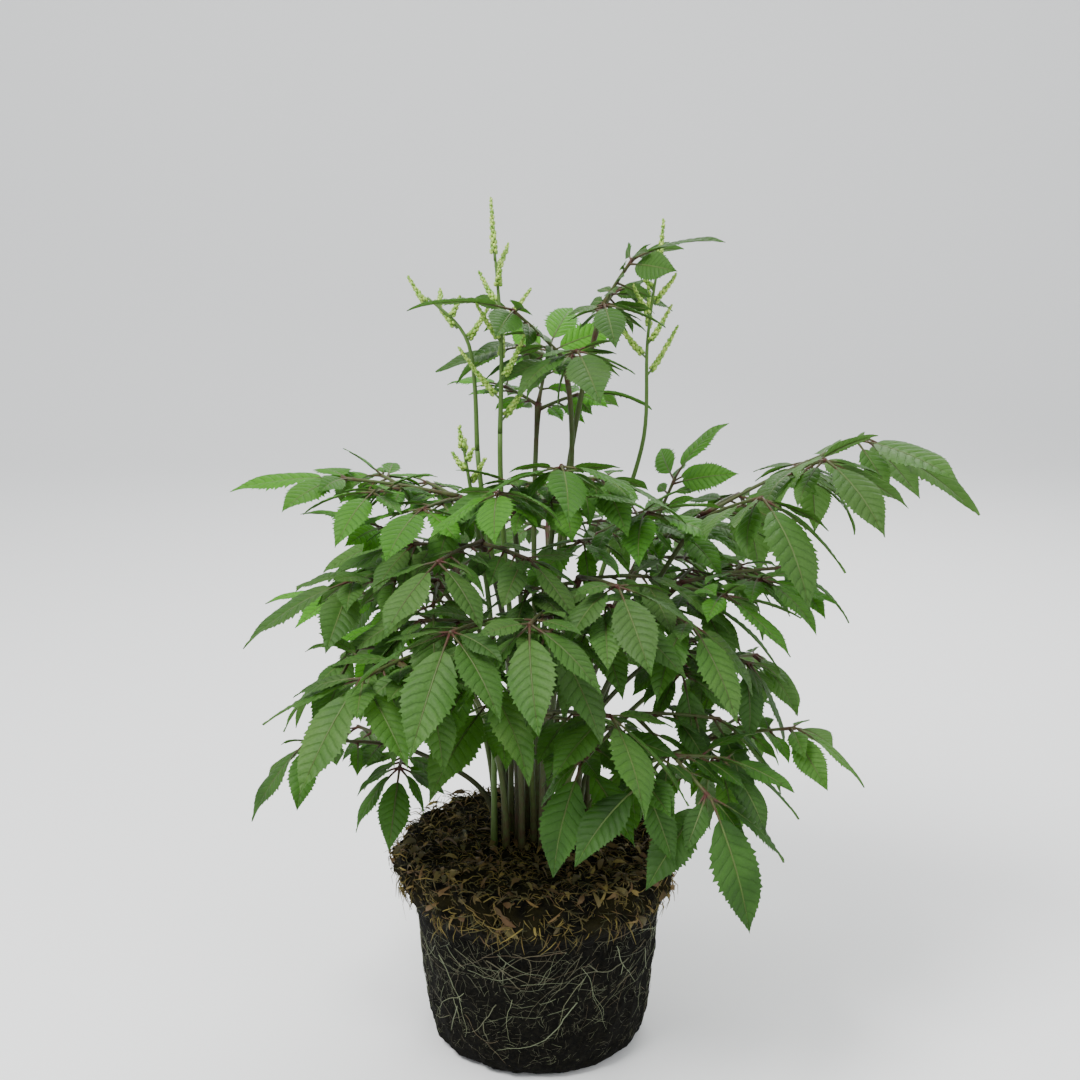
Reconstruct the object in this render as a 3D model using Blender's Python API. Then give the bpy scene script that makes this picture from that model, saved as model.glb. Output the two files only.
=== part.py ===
"""Astilbe plant lifted out of its pot: a root ball, its leafy fronds and its flower stems in green bud.

Metres, +Z up, -Y towards the viewer. The origin is the middle of the root ball's flat base.
"""

import math
import random
from collections import namedtuple

import bmesh
import bpy
from mathutils import Matrix, Vector, noise
from mathutils.bvhtree import BVHTree

UP = Vector((0, 0, 1))
GOLDEN_ANGLE = math.radians(137.5)

# Root ball, cast by the round pot that it grew in: (radius, height) up the wall
BALL_WALL = ((0.0520, 0.0), (0.0600, 0.0030), (0.0640, 0.0110), (0.0665, 0.0360), (0.0695, 0.0620),
             (0.0712, 0.0840), (0.0768, 0.0935), (0.0795, 0.1040), (0.0780, 0.1130), (0.0710, 0.1180))
BALL_TOP_RADII = (0.0600, 0.0470, 0.0330, 0.0170)
BALL_SIDES = 32
SOIL_HEIGHT = 0.118
WALL_LUMP = 0.0016
MOSS_LUMP = 0.0048
CROWN_LUMP = 0.0016
COLLAR_FROM = 0.090
COLLAR_BULGE = 0.0030

# Crown, where every stalk comes out of the soil
CROWN = Vector((-0.004, 0.010, 0))
CROWN_SHARE = 0.30
CROWN_REACH = 0.044
ROOT_SPACING = 0.0080
STALK_DEPTH = 0.010
STALK_UPRIGHT = 0.007
STALK_RISE = 0.42
STALK_ENTER = 0.30
SHIFT_AT_HUB = 0.6
HOLE_GAP = 0.0004
HOLE_SIDES = 5

# Stalks and branches
STALK_RADIUS = 0.0017
HUB_RADIUS = 0.0024
BRANCH_RADIUS = 0.0011
NODE_RADIUS = 0.0013
TWIG_RADIUS = 0.0008
STALK_SIDES = 4
STALK_STEPS = 4
BRANCH_SIDES = 3
SIDE_ANGLE = math.radians(64)
SIDE_LENGTH = 0.72
HUB_LEAN = 0.55
INNER_PAIR = 0.52
INNER_PAIR_LENGTH = 0.62
SIDE_LEAF = 0.92
INNER_LEAF = 0.82
FORK_ROOM = 0.004

# Leaflets
LEAF_WIDTH = 0.48
LEAF_THICK = 0.0012
TOOTH_DEPTH = 0.14
TOOTH_PEAK = 0.70
FIRST_TOOTH = 0.13
TOOTHED_SHARE = 0.80
BLADE_START = 0.05
START_WIDTH = 0.6
FOLD = math.radians(15)
MARGIN_CURL = 0.30
LEAF_BASE = 0.75
LEAF_TIP = 1.12
LEAFLET_ANGLE = math.radians(62)
TWIG_SHARE = 0.14
SHORTEST_TWIG = 0.0018
TWIG_SUNK = 0.0004
TIP_LEAF = 1.0
BESIDE_LEAF = 0.86
INWARD_LEAF = 0.74
LEAF_SPREAD = (0.92, 1.08)
BEND_SPREAD = (0.30, 0.75)
TURN_SPREAD = 0.12
TWIST_SPREAD = 0.2
DROOP_SPREAD = 7
BESIDE_DROOP = 0.75
SOIL_ROOM = 0.008
BALL_REACH = 0.09
FREE_TURNS = 26
SMALLEST_LEAF = 0.016
THREE_TEETH = 0.043
STAGGER = 0.0026

# Room that each new piece keeps from the other fronds and stems
CLEARANCE = 0.0006

# How often a piece is moved in search of that room, and how far each time
SPOT_TRIES, SPOT_STEP = 400, 0.0015
STALK_TRIES, STALK_STEP = 140, 0.0024
BRANCH_TRIES, BRANCH_TURN = 90, math.radians(5)
LEAFLET_TRIES, LEAFLET_TURN = 46, math.radians(6.5)
SPIKE_TRIES, SPIKE_TURN = 40, math.radians(7)
LEAFLET_SHARES = (1.0, 0.86, 0.72, 0.58)

# Flower spikes in bud
SPIKE_SIDES = 4
KNOB_PITCH = 0.0105
BUD_RADIUS = 0.0017
SPIKE_RADIUS = 0.0007
SPIKE_LIFT = 0.22
BARE_SHARE = 0.18
STEM_TIP_RADIUS = 0.0008
STEM_BASE_RADIUS = 0.00168
TOP_SPIKE = 0.8
SHORTEST_SPIKE = 0.38
STEM_OVERLAP = 0.004

# Edges shorter than these, left where pieces meet, are closed up by the first that works
SLIVERS = (0.0003, 0.0002, 0.00012, 0.00007, 0.00004, 0.00002, 0.00001)
THINNEST = 0.000006

SEED = 31

LEAF_GREEN = (0.075, 0.19, 0.05)
YOUNG_GREEN = (0.25, 0.45, 0.08)
SOIL_BROWN = (0.035, 0.028, 0.020)

# A frond: its hub, where the stalk forks, and the node at the end of its middle branch.
# Roll turns the frond about that branch, and pairs is how many pairs of side branches it has.
# Leaf is the length of its largest leaflet, sides is how many leaflets a side branch carries,
# and droop is how far the leaflets hang below their branches, in degrees.
Frond = namedtuple("Frond", "name hub end roll pairs leaf sides droop")
FRONDS = (
    Frond("frond_front_low_right", (0.050, -0.060, 0.218), (0.086, -0.112, 0.192), 3, 2, 0.057, 3, 38),
    Frond("frond_front", (0.000, -0.050, 0.214), (0.036, -0.103, 0.232), -22, 1, 0.056, 3, 42),
    Frond("frond_low_left", (-0.077, -0.005, 0.178), (-0.128, -0.030, 0.190), 0, 1, 0.044, 3, 45),
    Frond("frond_left_middle", (-0.052, -0.066, 0.256), (-0.086, -0.118, 0.256), 0, 2, 0.056, 3, 32),
    Frond("frond_left_wide", (-0.055, -0.030, 0.282), (-0.098, -0.052, 0.288), -8, 1, 0.054, 2, 20),
    Frond("frond_front_left", (-0.022, -0.070, 0.272), (-0.042, -0.122, 0.281), 0, 1, 0.054, 3, 40),
    Frond("frond_front_middle", (0.006, -0.066, 0.276), (-0.004, -0.118, 0.284), 12, 1, 0.052, 3, 40),
    Frond("frond_upper_front_left", (-0.030, -0.040, 0.306), (-0.050, -0.088, 0.307), -3, 1, 0.043, 3, 20),
    Frond("frond_centre", (0.022, -0.038, 0.286), (0.040, -0.086, 0.294), 0, 1, 0.046, 3, 30),
    Frond("frond_centre_right", (0.052, -0.028, 0.270), (0.078, -0.076, 0.272), 0, 1, 0.052, 3, 36),
    Frond("frond_right_middle", (0.078, -0.012, 0.276), (0.136, -0.002, 0.282), -5, 2, 0.048, 3, 24),
    Frond("frond_right_lower", (0.072, -0.006, 0.236), (0.118, -0.014, 0.230), 0, 1, 0.044, 3, 44),
    Frond("frond_right_high", (0.090, 0.000, 0.311), (0.180, 0.006, 0.354), -13, 2, 0.062, 3, 44),
    Frond("frond_upper_left", (-0.044, 0.000, 0.322), (-0.108, -0.004, 0.333), 0, 2, 0.050, 3, 8),
    Frond("frond_top_centre", (0.010, -0.014, 0.334), (0.012, -0.052, 0.349), 0, 1, 0.048, 3, 22),
    Frond("frond_top_front", (-0.014, -0.022, 0.322), (-0.020, -0.066, 0.338), 6, 1, 0.044, 2, 20),
    Frond("frond_inner_high", (0.034, 0.004, 0.300), (0.060, -0.022, 0.318), 0, 1, 0.048, 2, 20),
    Frond("frond_right_top", (0.066, 0.044, 0.290), (0.080, 0.052, 0.322), 0, 1, 0.042, 2, 10),
    Frond("frond_left_young", (-0.056, 0.030, 0.272), (-0.090, 0.020, 0.300), 0, 1, 0.038, 2, 10),
    Frond("frond_left_behind", (-0.064, 0.040, 0.240), (-0.108, 0.044, 0.256), 0, 1, 0.046, 2, 20),
    Frond("frond_top_left", (0.014, 0.020, 0.396), (-0.014, 0.002, 0.424), 0, 1, 0.054, 3, 26),
    Frond("frond_top_right", (0.036, 0.030, 0.424), (0.052, 0.024, 0.450), 10, 1, 0.042, 2, 26),
    Frond("frond_behind_top", (0.000, 0.056, 0.366), (0.006, 0.074, 0.396), 0, 1, 0.044, 2, 15),
    Frond("frond_back_left", (-0.052, 0.080, 0.262), (-0.086, 0.120, 0.272), 0, 1, 0.054, 2, 30),
    Frond("frond_back", (0.006, 0.092, 0.284), (0.004, 0.144, 0.296), 0, 1, 0.056, 3, 30),
    Frond("frond_back_right", (0.064, 0.082, 0.270), (0.104, 0.118, 0.280), 0, 1, 0.054, 2, 30),
    Frond("frond_back_low", (0.018, 0.096, 0.205), (0.022, 0.148, 0.204), 0, 1, 0.048, 2, 35),
    Frond("frond_right_back_low", (0.088, 0.056, 0.205), (0.136, 0.076, 0.206), 3, 1, 0.048, 2, 35),
    Frond("frond_low_right", (0.094, -0.018, 0.186), (0.142, -0.030, 0.198), 0, 1, 0.042, 2, 40),
)

# A flower stem: the points that it passes above the soil, the height where its side spikes begin,
# how many of them it bears and the length of the lowest.
Flower = namedtuple("Flower", "name route spikes_from spikes longest")
FLOWERS = (
    Flower("flower_stem_left", ((-0.021, 0.008, 0.356), (-0.020, 0.004, 0.409), (-0.023, 0.0, 0.454)),
           0.362, 9, 0.034),
    Flower("flower_stem_right", ((0.046, 0.034, 0.300), (0.060, 0.032, 0.350), (0.061, 0.030, 0.404),
                                 (0.066, 0.030, 0.446)), 0.385, 8, 0.030),
    Flower("flower_stem_far_left", ((-0.034, 0.016, 0.345), (-0.038, 0.014, 0.404), (-0.060, 0.010, 0.430)),
           0.406, 4, 0.020),
    Flower("flower_stem_front", ((-0.030, -0.018, 0.290), (-0.036, -0.022, 0.330), (-0.040, -0.024, 0.356)),
           0.334, 4, 0.014),
)

# A leaflet: where its blade starts, the way it points, the way its upper face looks, and its form
Leaf = namedtuple("Leaf", "base aim face length width bend teeth")
Shell = namedtuple("Shell", "points faces")
# A branch: its place among its frond's shells, its route and radii, and the way that it ends
Branch = namedtuple("Branch", "index route radii aim")


def turned(vector, axis, angle):
    return Matrix.Rotation(angle, 3, axis) @ vector


def square_to(vector, axis):
    """The unit part of vector that is square to axis."""
    flat = vector - axis * vector.dot(axis)
    if flat.length < 1e-6:
        flat = axis.orthogonal()
    return flat.normalized()


def bezier(a, b, c, d, steps):
    """Points along a cubic curve from a to d, both included."""
    points = []
    for k in range(steps + 1):
        t = k / steps
        s = 1 - t
        points.append(a * s**3 + b * 3 * s * s * t + c * 3 * s * t * t + d * t**3)
    return points


def smooth_route(corners, steps):
    """A rounded curve through the corners, with that many steps to each span."""
    points = [corners[0]]
    for k in range(len(corners) - 1):
        a, d = corners[k], corners[k + 1]
        before = corners[max(k - 1, 0)]
        after = corners[min(k + 2, len(corners) - 1)]
        points += bezier(a, a + (d - before) / 6, d - (after - a) / 6, d, steps)[1:]
    return points


def spiral(count):
    """Offsets that wander outwards by the golden angle, about one unit apart."""
    return [(math.sqrt(k) * math.cos(k * GOLDEN_ANGLE), math.sqrt(k) * math.sin(k * GOLDEN_ANGLE))
            for k in range(count)]


# Closed shells

def tube(points, radii, sides):
    """A closed tube along the points. Its rings turn as little as they can."""
    count = len(points)
    verts, faces = [], []
    side = None
    for k, point in enumerate(points):
        ahead = (points[min(k + 1, count - 1)] - points[max(k - 1, 0)]).normalized()
        side = square_to(side if side is not None else ahead.orthogonal(), ahead)
        other = ahead.cross(side)
        for n in range(sides):
            a = 2 * math.pi * n / sides
            verts.append(point + (side * math.cos(a) + other * math.sin(a)) * radii[k])
    for k in range(count - 1):
        for n in range(sides):
            m = (n + 1) % sides
            faces.append((k * sides + n, k * sides + m, (k + 1) * sides + m, (k + 1) * sides + n))
    faces.append(tuple(range(sides - 1, -1, -1)))
    faces.append(tuple(range((count - 1) * sides, count * sides)))
    return Shell(verts, faces)


def leaf_outline(s):
    """Half the leaflet's width at s of its length, as a share of the widest half."""
    widest = LEAF_BASE / (LEAF_BASE + LEAF_TIP)
    top = widest**LEAF_BASE * (1 - widest) ** LEAF_TIP
    return max(s, 0) ** LEAF_BASE * max(1 - s, 0) ** LEAF_TIP / top


def leaf_point(leaf, s, u, lift):
    """The point at s along the leaflet and u across it, from -1 to 1 between its margins."""
    turn = leaf.bend * s
    out = leaf.length * math.sin(turn) / leaf.bend
    down = leaf.length * (1 - math.cos(turn)) / leaf.bend
    side = leaf.aim.cross(leaf.face)
    face = leaf.face * math.cos(turn) + leaf.aim * math.sin(turn)
    across = u * leaf.width / 2 * leaf_outline(s)
    rise = math.tan(FOLD) * abs(across) - MARGIN_CURL * across * across / (leaf.width / 2)
    return leaf.base + leaf.aim * out - leaf.face * down + side * across + face * (rise + lift)


def leaf_margin(teeth):
    """Points along one margin: how far along, and how far out as a share of the plain outline."""
    margin = []
    for k in range(teeth):
        notch = FIRST_TOOTH + TOOTHED_SHARE * k / teeth
        if k:
            margin.append((notch, 1 - TOOTH_DEPTH))
        margin.append((notch + TOOTH_PEAK * TOOTHED_SHARE / teeth, 1 + TOOTH_DEPTH))
    return margin


def blade_shell(leaf, ribs):
    """A closed toothed blade, thickest along its rib, open at the four-sided ring where it starts."""
    lift = LEAF_THICK / 2
    margin = leaf_margin(leaf.teeth)
    points, faces = [], []

    def add(s, u, up):
        points.append(leaf_point(leaf, s, u, up))
        return len(points) - 1

    rib_steps = [BLADE_START + (1 - BLADE_START) * k / ribs for k in range(ribs)] + [1.0]
    side_steps = [BLADE_START] + [s for s, _ in margin] + [1.0]
    right = [add(BLADE_START, START_WIDTH, -lift)] + [add(s, u, 0) for s, u in margin]
    left = [add(BLADE_START, -START_WIDTH, -lift)] + [add(s, -u, 0) for s, u in margin]
    tip = add(1.0, 0, 0)
    top = [add(s, 0, lift) for s in rib_steps[:-1]]
    under = [add(s, 0, -lift) for s in rib_steps[1:-1]]

    def web(rib, side, flip):
        """Triangles between the rib and one margin, split alike on both faces."""
        a, b = 0, 0
        while a < ribs or b < len(side) - 1:
            if a < ribs and (b == len(side) - 1 or rib_steps[a + 1] <= side_steps[b + 1]):
                face = (rib[a], rib[a + 1], side[b])
                a += 1
            else:
                face = (rib[a], side[b + 1], side[b])
                b += 1
            if len(set(face)) == 3:
                faces.append(face[::-1] if flip else face)

    web(top + [tip], right + [tip], True)
    web(top + [tip], left + [tip], False)
    web([right[0]] + under + [tip], right + [tip], False)
    web([left[0]] + under + [tip], left + [tip], True)
    faces.append((right[0], left[0], under[0]))
    return Shell(points, faces), [right[0], top[0], left[0]]


def leaflet_shell(leaf, route, radii):
    """A blade that grows out of its three-sided twig, and the twig out of its branch.

    The route runs back from the blade to where the twig or branch begins, inside its parent.
    """
    shell, ring = blade_shell(leaf, 2)
    ahead = leaf.base
    for point, radius in zip(route, radii):
        along = (ahead - point).normalized()
        side = square_to(leaf.aim.cross(leaf.face), along)
        up = side.cross(along)
        first = len(shell.points)
        for offset in (side * 0.87 - up * 0.5, up, -side * 0.87 - up * 0.5):
            shell.points.append(point + offset * radius)
        for n in range(3):
            m = (n + 1) % 3
            shell.faces.append((ring[n], ring[m], first + m, first + n))
        ring = [first, first + 1, first + 2]
        ahead = point
    shell.faces.append(tuple(ring))
    return shell


def blade_guard(leaf):
    """The blade doubled, a little above and below itself, for telling whether it has room."""
    wide = leaf._replace(width=leaf.width + 2 * CLEARANCE, length=leaf.length + 2 * CLEARANCE)
    shell, _ = blade_shell(wide, 2)
    count = len(shell.points)
    shift = leaf.face * CLEARANCE
    points = [p + shift for p in shell.points] + [p - shift for p in shell.points]
    return Shell(points, shell.faces + [tuple(i + count for i in face) for face in shell.faces])


def tree_of(shells):
    points, faces = [], []
    for shell in shells:
        start = len(points)
        points += shell.points
        faces += [tuple(i + start for i in face) for face in shell.faces]
    return BVHTree.FromPolygons(points, faces)


class Growth:
    """What each node holds so far, and whether something new has room among the others."""

    def __init__(self):
        self.shells = {}
        self.trees = {}

    def add(self, name, shell):
        self.shells.setdefault(name, []).append(shell)
        self.trees[name] = tree_of(self.shells[name])
        return len(self.shells[name]) - 1

    def swap(self, name, index, shell):
        self.shells[name][index] = shell
        self.trees[name] = tree_of(self.shells[name])

    def crosses(self, name, guard):
        """Whether the guard meets any node other than its own."""
        tree = tree_of([guard])
        return any(tree.overlap(other) for key, other in self.trees.items() if key != name)


# The plan of the plant

def root_spots(firsts):
    """Where each stalk leaves the soil: its hub drawn in towards the crown, and pushed apart."""
    spots = []
    for first in firsts:
        pull = (Vector((first.x, first.y, 0)) - CROWN) * CROWN_SHARE
        if pull.length > CROWN_REACH:
            pull *= CROWN_REACH / pull.length
        for dx, dy in spiral(SPOT_TRIES):
            spot = CROWN + pull + Vector((dx, dy, 0)) * SPOT_STEP
            if all((spot - other).length > ROOT_SPACING for other in spots):
                break
        spots.append(spot)
    return spots


def stalk_route(spot, through, arrive, shift, steps):
    """Upright out of the soil, then a long curve to the hub, which it enters along arrive."""
    foot = Vector((spot.x, spot.y, SOIL_HEIGHT - STALK_DEPTH))
    neck = Vector((spot.x, spot.y, SOIL_HEIGHT + STALK_UPRIGHT))
    rise = (through - neck).length
    lean = neck + UP * rise * STALK_RISE + shift
    enter = through - arrive * rise * STALK_ENTER + shift * SHIFT_AT_HUB
    return [foot] + bezier(neck, lean, enter, through, steps)


def place_stalk(growth, name, spot, hub, arrive, steps, sides):
    """The first curve, of those that wander out from the plain one, with room among the rest."""
    for dx, dy in spiral(STALK_TRIES):
        shift = Vector((dx, dy, 0)) * STALK_STEP
        route = stalk_route(spot, hub, arrive, shift, steps)
        radii = [STALK_RADIUS] * (len(route) - 2) + [STALK_RADIUS * 0.9, HUB_RADIUS]
        guard = tube(route, [r + CLEARANCE for r in radii], sides)
        if not growth.crosses(name, guard):
            growth.add(name, tube(route, radii, sides))
            return route
    print("no room for stalk", name)
    growth.add(name, tube(route, radii, sides))
    return route


def place_branch(growth, name, start, aim, length):
    """A branch from start, turned little by little until it has room."""
    side = aim.cross(UP).normalized()
    for pitch, yaw in spiral(BRANCH_TRIES):
        way = turned(turned(aim, side, BRANCH_TURN * pitch), UP, BRANCH_TURN * yaw)
        end = start + way * length
        route, radii = [start, end], [BRANCH_RADIUS, NODE_RADIUS]
        guard = tube([start + way * FORK_ROOM, end], [r + CLEARANCE for r in radii], BRANCH_SIDES)
        if not growth.crosses(name, guard):
            index = growth.add(name, tube(route, radii, BRANCH_SIDES))
            return Branch(index, route, radii, way)
    print("no room for branch", name)
    return None


def place_leaflet(growth, name, own, start, branch, aim, face, length, bend):
    """A leaflet turned and then shortened until it has room, at the end of a branch or beside it."""
    for share in LEAFLET_SHARES:
        size = length * share
        if size < SMALLEST_LEAF:
            break
        twig = TWIG_SHARE * size
        side = aim.cross(face).normalized()
        for pitch, yaw in spiral(LEAFLET_TRIES):
            way = turned(turned(aim, side, LEAFLET_TURN * pitch), face, LEAFLET_TURN * yaw)
            look = square_to(face, way)
            teeth = 3 if size > THREE_TEETH else 2
            leaf = Leaf(start + way * (SHORTEST_TWIG + twig), way, look, size, size * LEAF_WIDTH, bend, teeth)
            low = min(leaf_point(leaf, s, u, 0).z for s in (0.5, 1.0) for u in (-1, 1))
            if low < SOIL_HEIGHT + SOIL_ROOM and abs(leaf.base.x) < BALL_REACH:
                continue
            guard = blade_guard(leaf)
            if growth.crosses(name, guard):
                continue
            if pitch * pitch + yaw * yaw < FREE_TURNS and own and tree_of([guard]).overlap(tree_of(own)):
                continue
            if branch:
                shell = leaflet_shell(leaf, branch.route[::-1], branch.radii[::-1])
            else:
                shell = leaflet_shell(leaf, [start - way * TWIG_SUNK], [TWIG_RADIUS])
            if growth.crosses(name, shell):
                continue
            if branch:
                growth.swap(name, branch.index, shell)
            else:
                growth.add(name, shell)
            own.append(blade_shell(leaf, 2)[0])
            return leaf
    return None


def place_group(growth, name, own, branch, hand, lean, leaf, count, droop, rng):
    """The leaflets of one branch: one at its tip and one or two beside it, a little staggered.

    Hand tells which side of its frond the branch is on, so that its inner leaflet stays small.
    """
    grown = []
    node = branch.route[-1]
    for n in range(count):
        turn = (0, LEAFLET_ANGLE, -LEAFLET_ANGLE)[n]
        if count == 2 and n == 1:
            turn = LEAFLET_ANGLE * (-hand or 1)
        size = leaf * (BESIDE_LEAF if n else TIP_LEAF)
        if n and hand and turn * hand > 0:
            size *= INWARD_LEAF
        size *= rng.uniform(*LEAF_SPREAD)
        way = turned(branch.aim, lean, turn + rng.uniform(-TURN_SPREAD, TURN_SPREAD))
        side = way.cross(lean).normalized()
        drop = math.radians(droop * (BESIDE_DROOP if n else 1.0) + rng.uniform(-DROOP_SPREAD, DROOP_SPREAD))
        way = turned(way, side, -drop)
        face = square_to(turned(lean, way, rng.uniform(-TWIST_SPREAD, TWIST_SPREAD)), way)
        start = node if n == 0 else node - branch.aim * STAGGER * (n - 0.6)
        placed = place_leaflet(growth, name, own, start, None if n else branch, way, face, size,
                               rng.uniform(*BEND_SPREAD))
        if placed:
            grown.append(placed)
    return grown


def frond_lean(frond, aim):
    return square_to(turned(UP, aim, math.radians(frond.roll)), aim)


def grow_branches(growth, frond, hub, aim, arrive):
    """The middle branch and its pairs of side branches, each with the side of the frond it is on."""
    lean = frond_lean(frond, aim)
    length = (Vector(frond.end) - hub).length
    grown = [(place_branch(growth, frond.name, hub, aim, length), 0, 1.0)]
    for pair in range(frond.pairs):
        share = INNER_PAIR * pair
        start = hub + aim * length * share
        reach = length * SIDE_LENGTH * (INNER_PAIR_LENGTH if pair else 1.0)
        for n, hand in enumerate((1, -1)):
            way = turned(aim, lean, hand * SIDE_ANGLE)
            back = (aim if pair else arrive) * STAGGER * (n + (0.0 if pair else 0.6))
            branch = place_branch(growth, frond.name, start - back, way, reach)
            grown.append((branch, hand, INNER_LEAF if pair else SIDE_LEAF))
    return [entry for entry in grown if entry[0]]


def grow_flower(growth, flower, spot):
    """The stem and its knobbly side spikes of buds, set round it by the golden angle."""
    corners = [Vector(p) for p in flower.route]
    rise = (corners[1] - corners[0]).normalized()
    stalk = place_stalk(growth, flower.name, spot, corners[0], rise, STALK_STEPS, STALK_SIDES)
    upper = smooth_route(corners, 2)
    radii = [STEM_BASE_RADIUS + (STEM_TIP_RADIUS - STEM_BASE_RADIUS) * k / (len(upper) - 1)
             for k in range(len(upper))]
    first = stalk[-1] - rise * STEM_OVERLAP
    growth.add(flower.name, tube([first] + upper, [radii[0]] + radii, STALK_SIDES))
    return upper


def spike(growth, name, start, way, length):
    """A side spike: a slim stem swelling at each cluster of buds. Turned until it has room."""
    knobs = max(2, round(length / KNOB_PITCH))
    for pitch, yaw in spiral(SPIKE_TRIES):
        side = way.orthogonal().normalized()
        line = turned(turned(way, side, SPIKE_TURN * pitch), UP, SPIKE_TURN * yaw)
        points, radii = [start], [SPIKE_RADIUS]
        for k in range(knobs):
            for share, radius in ((0.42, 1.0), (0.86, 0.42)):
                t = BARE_SHARE + (1 - BARE_SHARE) * (k + share) / knobs
                points.append(start + line * length * t + UP * length * SPIKE_LIFT * t * t)
                radii.append(BUD_RADIUS * radius * (1 - 0.45 * t))
        radii[-1] *= 0.5
        guard = tube(points[1:], [r + CLEARANCE for r in radii[1:]], 4)
        if not growth.crosses(name, guard):
            growth.add(name, tube(points, radii, SPIKE_SIDES))
            return True
    return False


def grow_spikes(growth, flower, upper):
    low, high = flower.spikes_from, upper[-1].z
    for k in range(flower.spikes):
        t = k / flower.spikes
        height = low + (high - low) * t**0.9
        below = max(i for i in range(len(upper) - 1) if upper[i].z <= height + 1e-6 or i == 0)
        a, b = upper[below], upper[below + 1]
        share = min(max((height - a.z) / max(b.z - a.z, 1e-6), 0), 1)
        start = a.lerp(b, share)
        turn = k * GOLDEN_ANGLE + 0.6
        way = (Vector((math.cos(turn), math.sin(turn), 0)) * 0.8 + UP * 0.75).normalized()
        spike(growth, flower.name, start, way, flower.longest * (1 - (1 - SHORTEST_SPIKE) * t))
    top = upper[-1]
    onward = (top - upper[-3]).normalized()
    spike(growth, flower.name, top - UP * STEM_OVERLAP, onward, flower.longest * TOP_SPIKE)


def grow_plant():
    """Stalks first, then branches, flower spikes and leaflets, each one clear of what stands already."""
    growth = Growth()
    hubs = [Vector(frond.hub) for frond in FRONDS]
    firsts = hubs + [Vector(flower.route[0]) for flower in FLOWERS]
    spots = root_spots(firsts)
    uppers, ways = [], []
    for flower, spot in zip(FLOWERS, spots[len(FRONDS):]):
        uppers.append(grow_flower(growth, flower, spot))
    for frond, spot, hub in zip(FRONDS, spots, hubs):
        aim = (Vector(frond.end) - hub).normalized()
        rise = (hub - Vector((spot.x, spot.y, SOIL_HEIGHT))).normalized()
        arrive = (aim * HUB_LEAN + rise).normalized()
        place_stalk(growth, frond.name, spot, hub, arrive, STALK_STEPS, STALK_SIDES)
        ways.append((aim, arrive))
    branches = [grow_branches(growth, frond, hub, *way) for frond, hub, way in zip(FRONDS, hubs, ways)]
    for flower, upper in zip(FLOWERS, uppers):
        grow_spikes(growth, flower, upper)
    leaves = {}
    for frond, grown in zip(FRONDS, branches):
        rng = random.Random(frond.name + str(SEED))
        own = []
        leaves[frond.name] = []
        for branch, hand, share in grown:
            lean = square_to(UP, branch.aim) if hand else frond_lean(frond, branch.aim)
            leaves[frond.name] += place_group(growth, frond.name, own, branch, hand, lean, frond.leaf * share,
                                              frond.sides if hand else 3, frond.droop, rng)
    return growth, spots, leaves


# Objects

def clear_scene():
    for obj in list(bpy.data.objects):
        bpy.data.objects.remove(obj, do_unlink=True)


def material(name, color, roughness):
    mat = bpy.data.materials.new(name)
    mat.use_nodes = True
    shader = mat.node_tree.nodes["Principled BSDF"]
    shader.inputs["Base Color"].default_value = (*color, 1)
    shader.inputs["Roughness"].default_value = roughness
    return mat


def object_from(name, points, faces, mat):
    mesh = bpy.data.meshes.new(name)
    mesh.from_pydata([tuple(p) for p in points], [], faces)
    mesh.update()
    obj = bpy.data.objects.new(name, mesh)
    obj.data.materials.append(mat)
    bpy.context.scene.collection.objects.link(obj)
    return obj


def apply_modifiers(obj):
    graph = bpy.context.evaluated_depsgraph_get()
    mesh = bpy.data.meshes.new_from_object(obj.evaluated_get(graph))
    obj.modifiers.clear()
    obj.data = mesh


def boolean(obj, pieces, operation):
    """Joins the pieces to obj, or cuts them out of it, and removes them."""
    group = bpy.data.collections.new(obj.name + "_pieces")
    bpy.context.scene.collection.children.link(group)
    for piece in pieces:
        bpy.context.scene.collection.objects.unlink(piece)
        group.objects.link(piece)
    mod = obj.modifiers.new(operation.title(), "BOOLEAN")
    mod.operation = operation
    mod.operand_type = "COLLECTION"
    mod.collection = group
    mod.solver = "MANIFOLD"
    apply_modifiers(obj)
    for piece in pieces:
        bpy.data.objects.remove(piece, do_unlink=True)
    bpy.data.collections.remove(group)


def faces_from(start, allowed):
    """The faces reached from start across shared edges, among those allowed."""
    allowed.discard(start)
    stack, body = [start], [start]
    while stack:
        for edge in stack.pop().edges:
            for face in edge.link_faces:
                if face in allowed:
                    allowed.discard(face)
                    stack.append(face)
                    body.append(face)
    return body


def bodies_of(bm):
    """The mesh's separate bodies as lists of faces, smallest first."""
    left = set(bm.faces)
    bodies = []
    while left:
        bodies.append(faces_from(next(iter(left)), left))
    return sorted(bodies, key=len)


def is_sound(bm):
    """Whether the mesh is one closed body that nowhere pinches to a line or a point."""
    if any(len(edge.link_faces) != 2 for edge in bm.edges):
        return False
    for vert in bm.verts:
        around = set(vert.link_faces)
        count = len(around)
        if not count:
            return False
        reach, stack = 1, [around.pop()]
        while stack:
            for edge in stack.pop().edges:
                if vert in edge.verts:
                    for face in edge.link_faces:
                        if face in around:
                            around.discard(face)
                            stack.append(face)
                            reach += 1
        if reach != count:
            return False
    return len(bodies_of(bm)) == 1


def self_crossings(bm):
    """How many pairs of faces that share no corner meet each other."""
    bm.verts.index_update()
    bm.faces.ensure_lookup_table()
    bm.faces.index_update()
    tree = BVHTree.FromBMesh(bm)
    corners = [set(vert.index for vert in face.verts) for face in bm.faces]
    return sum(not corners[i] & corners[j] for i, j in tree.overlap(tree) if i < j)


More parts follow.
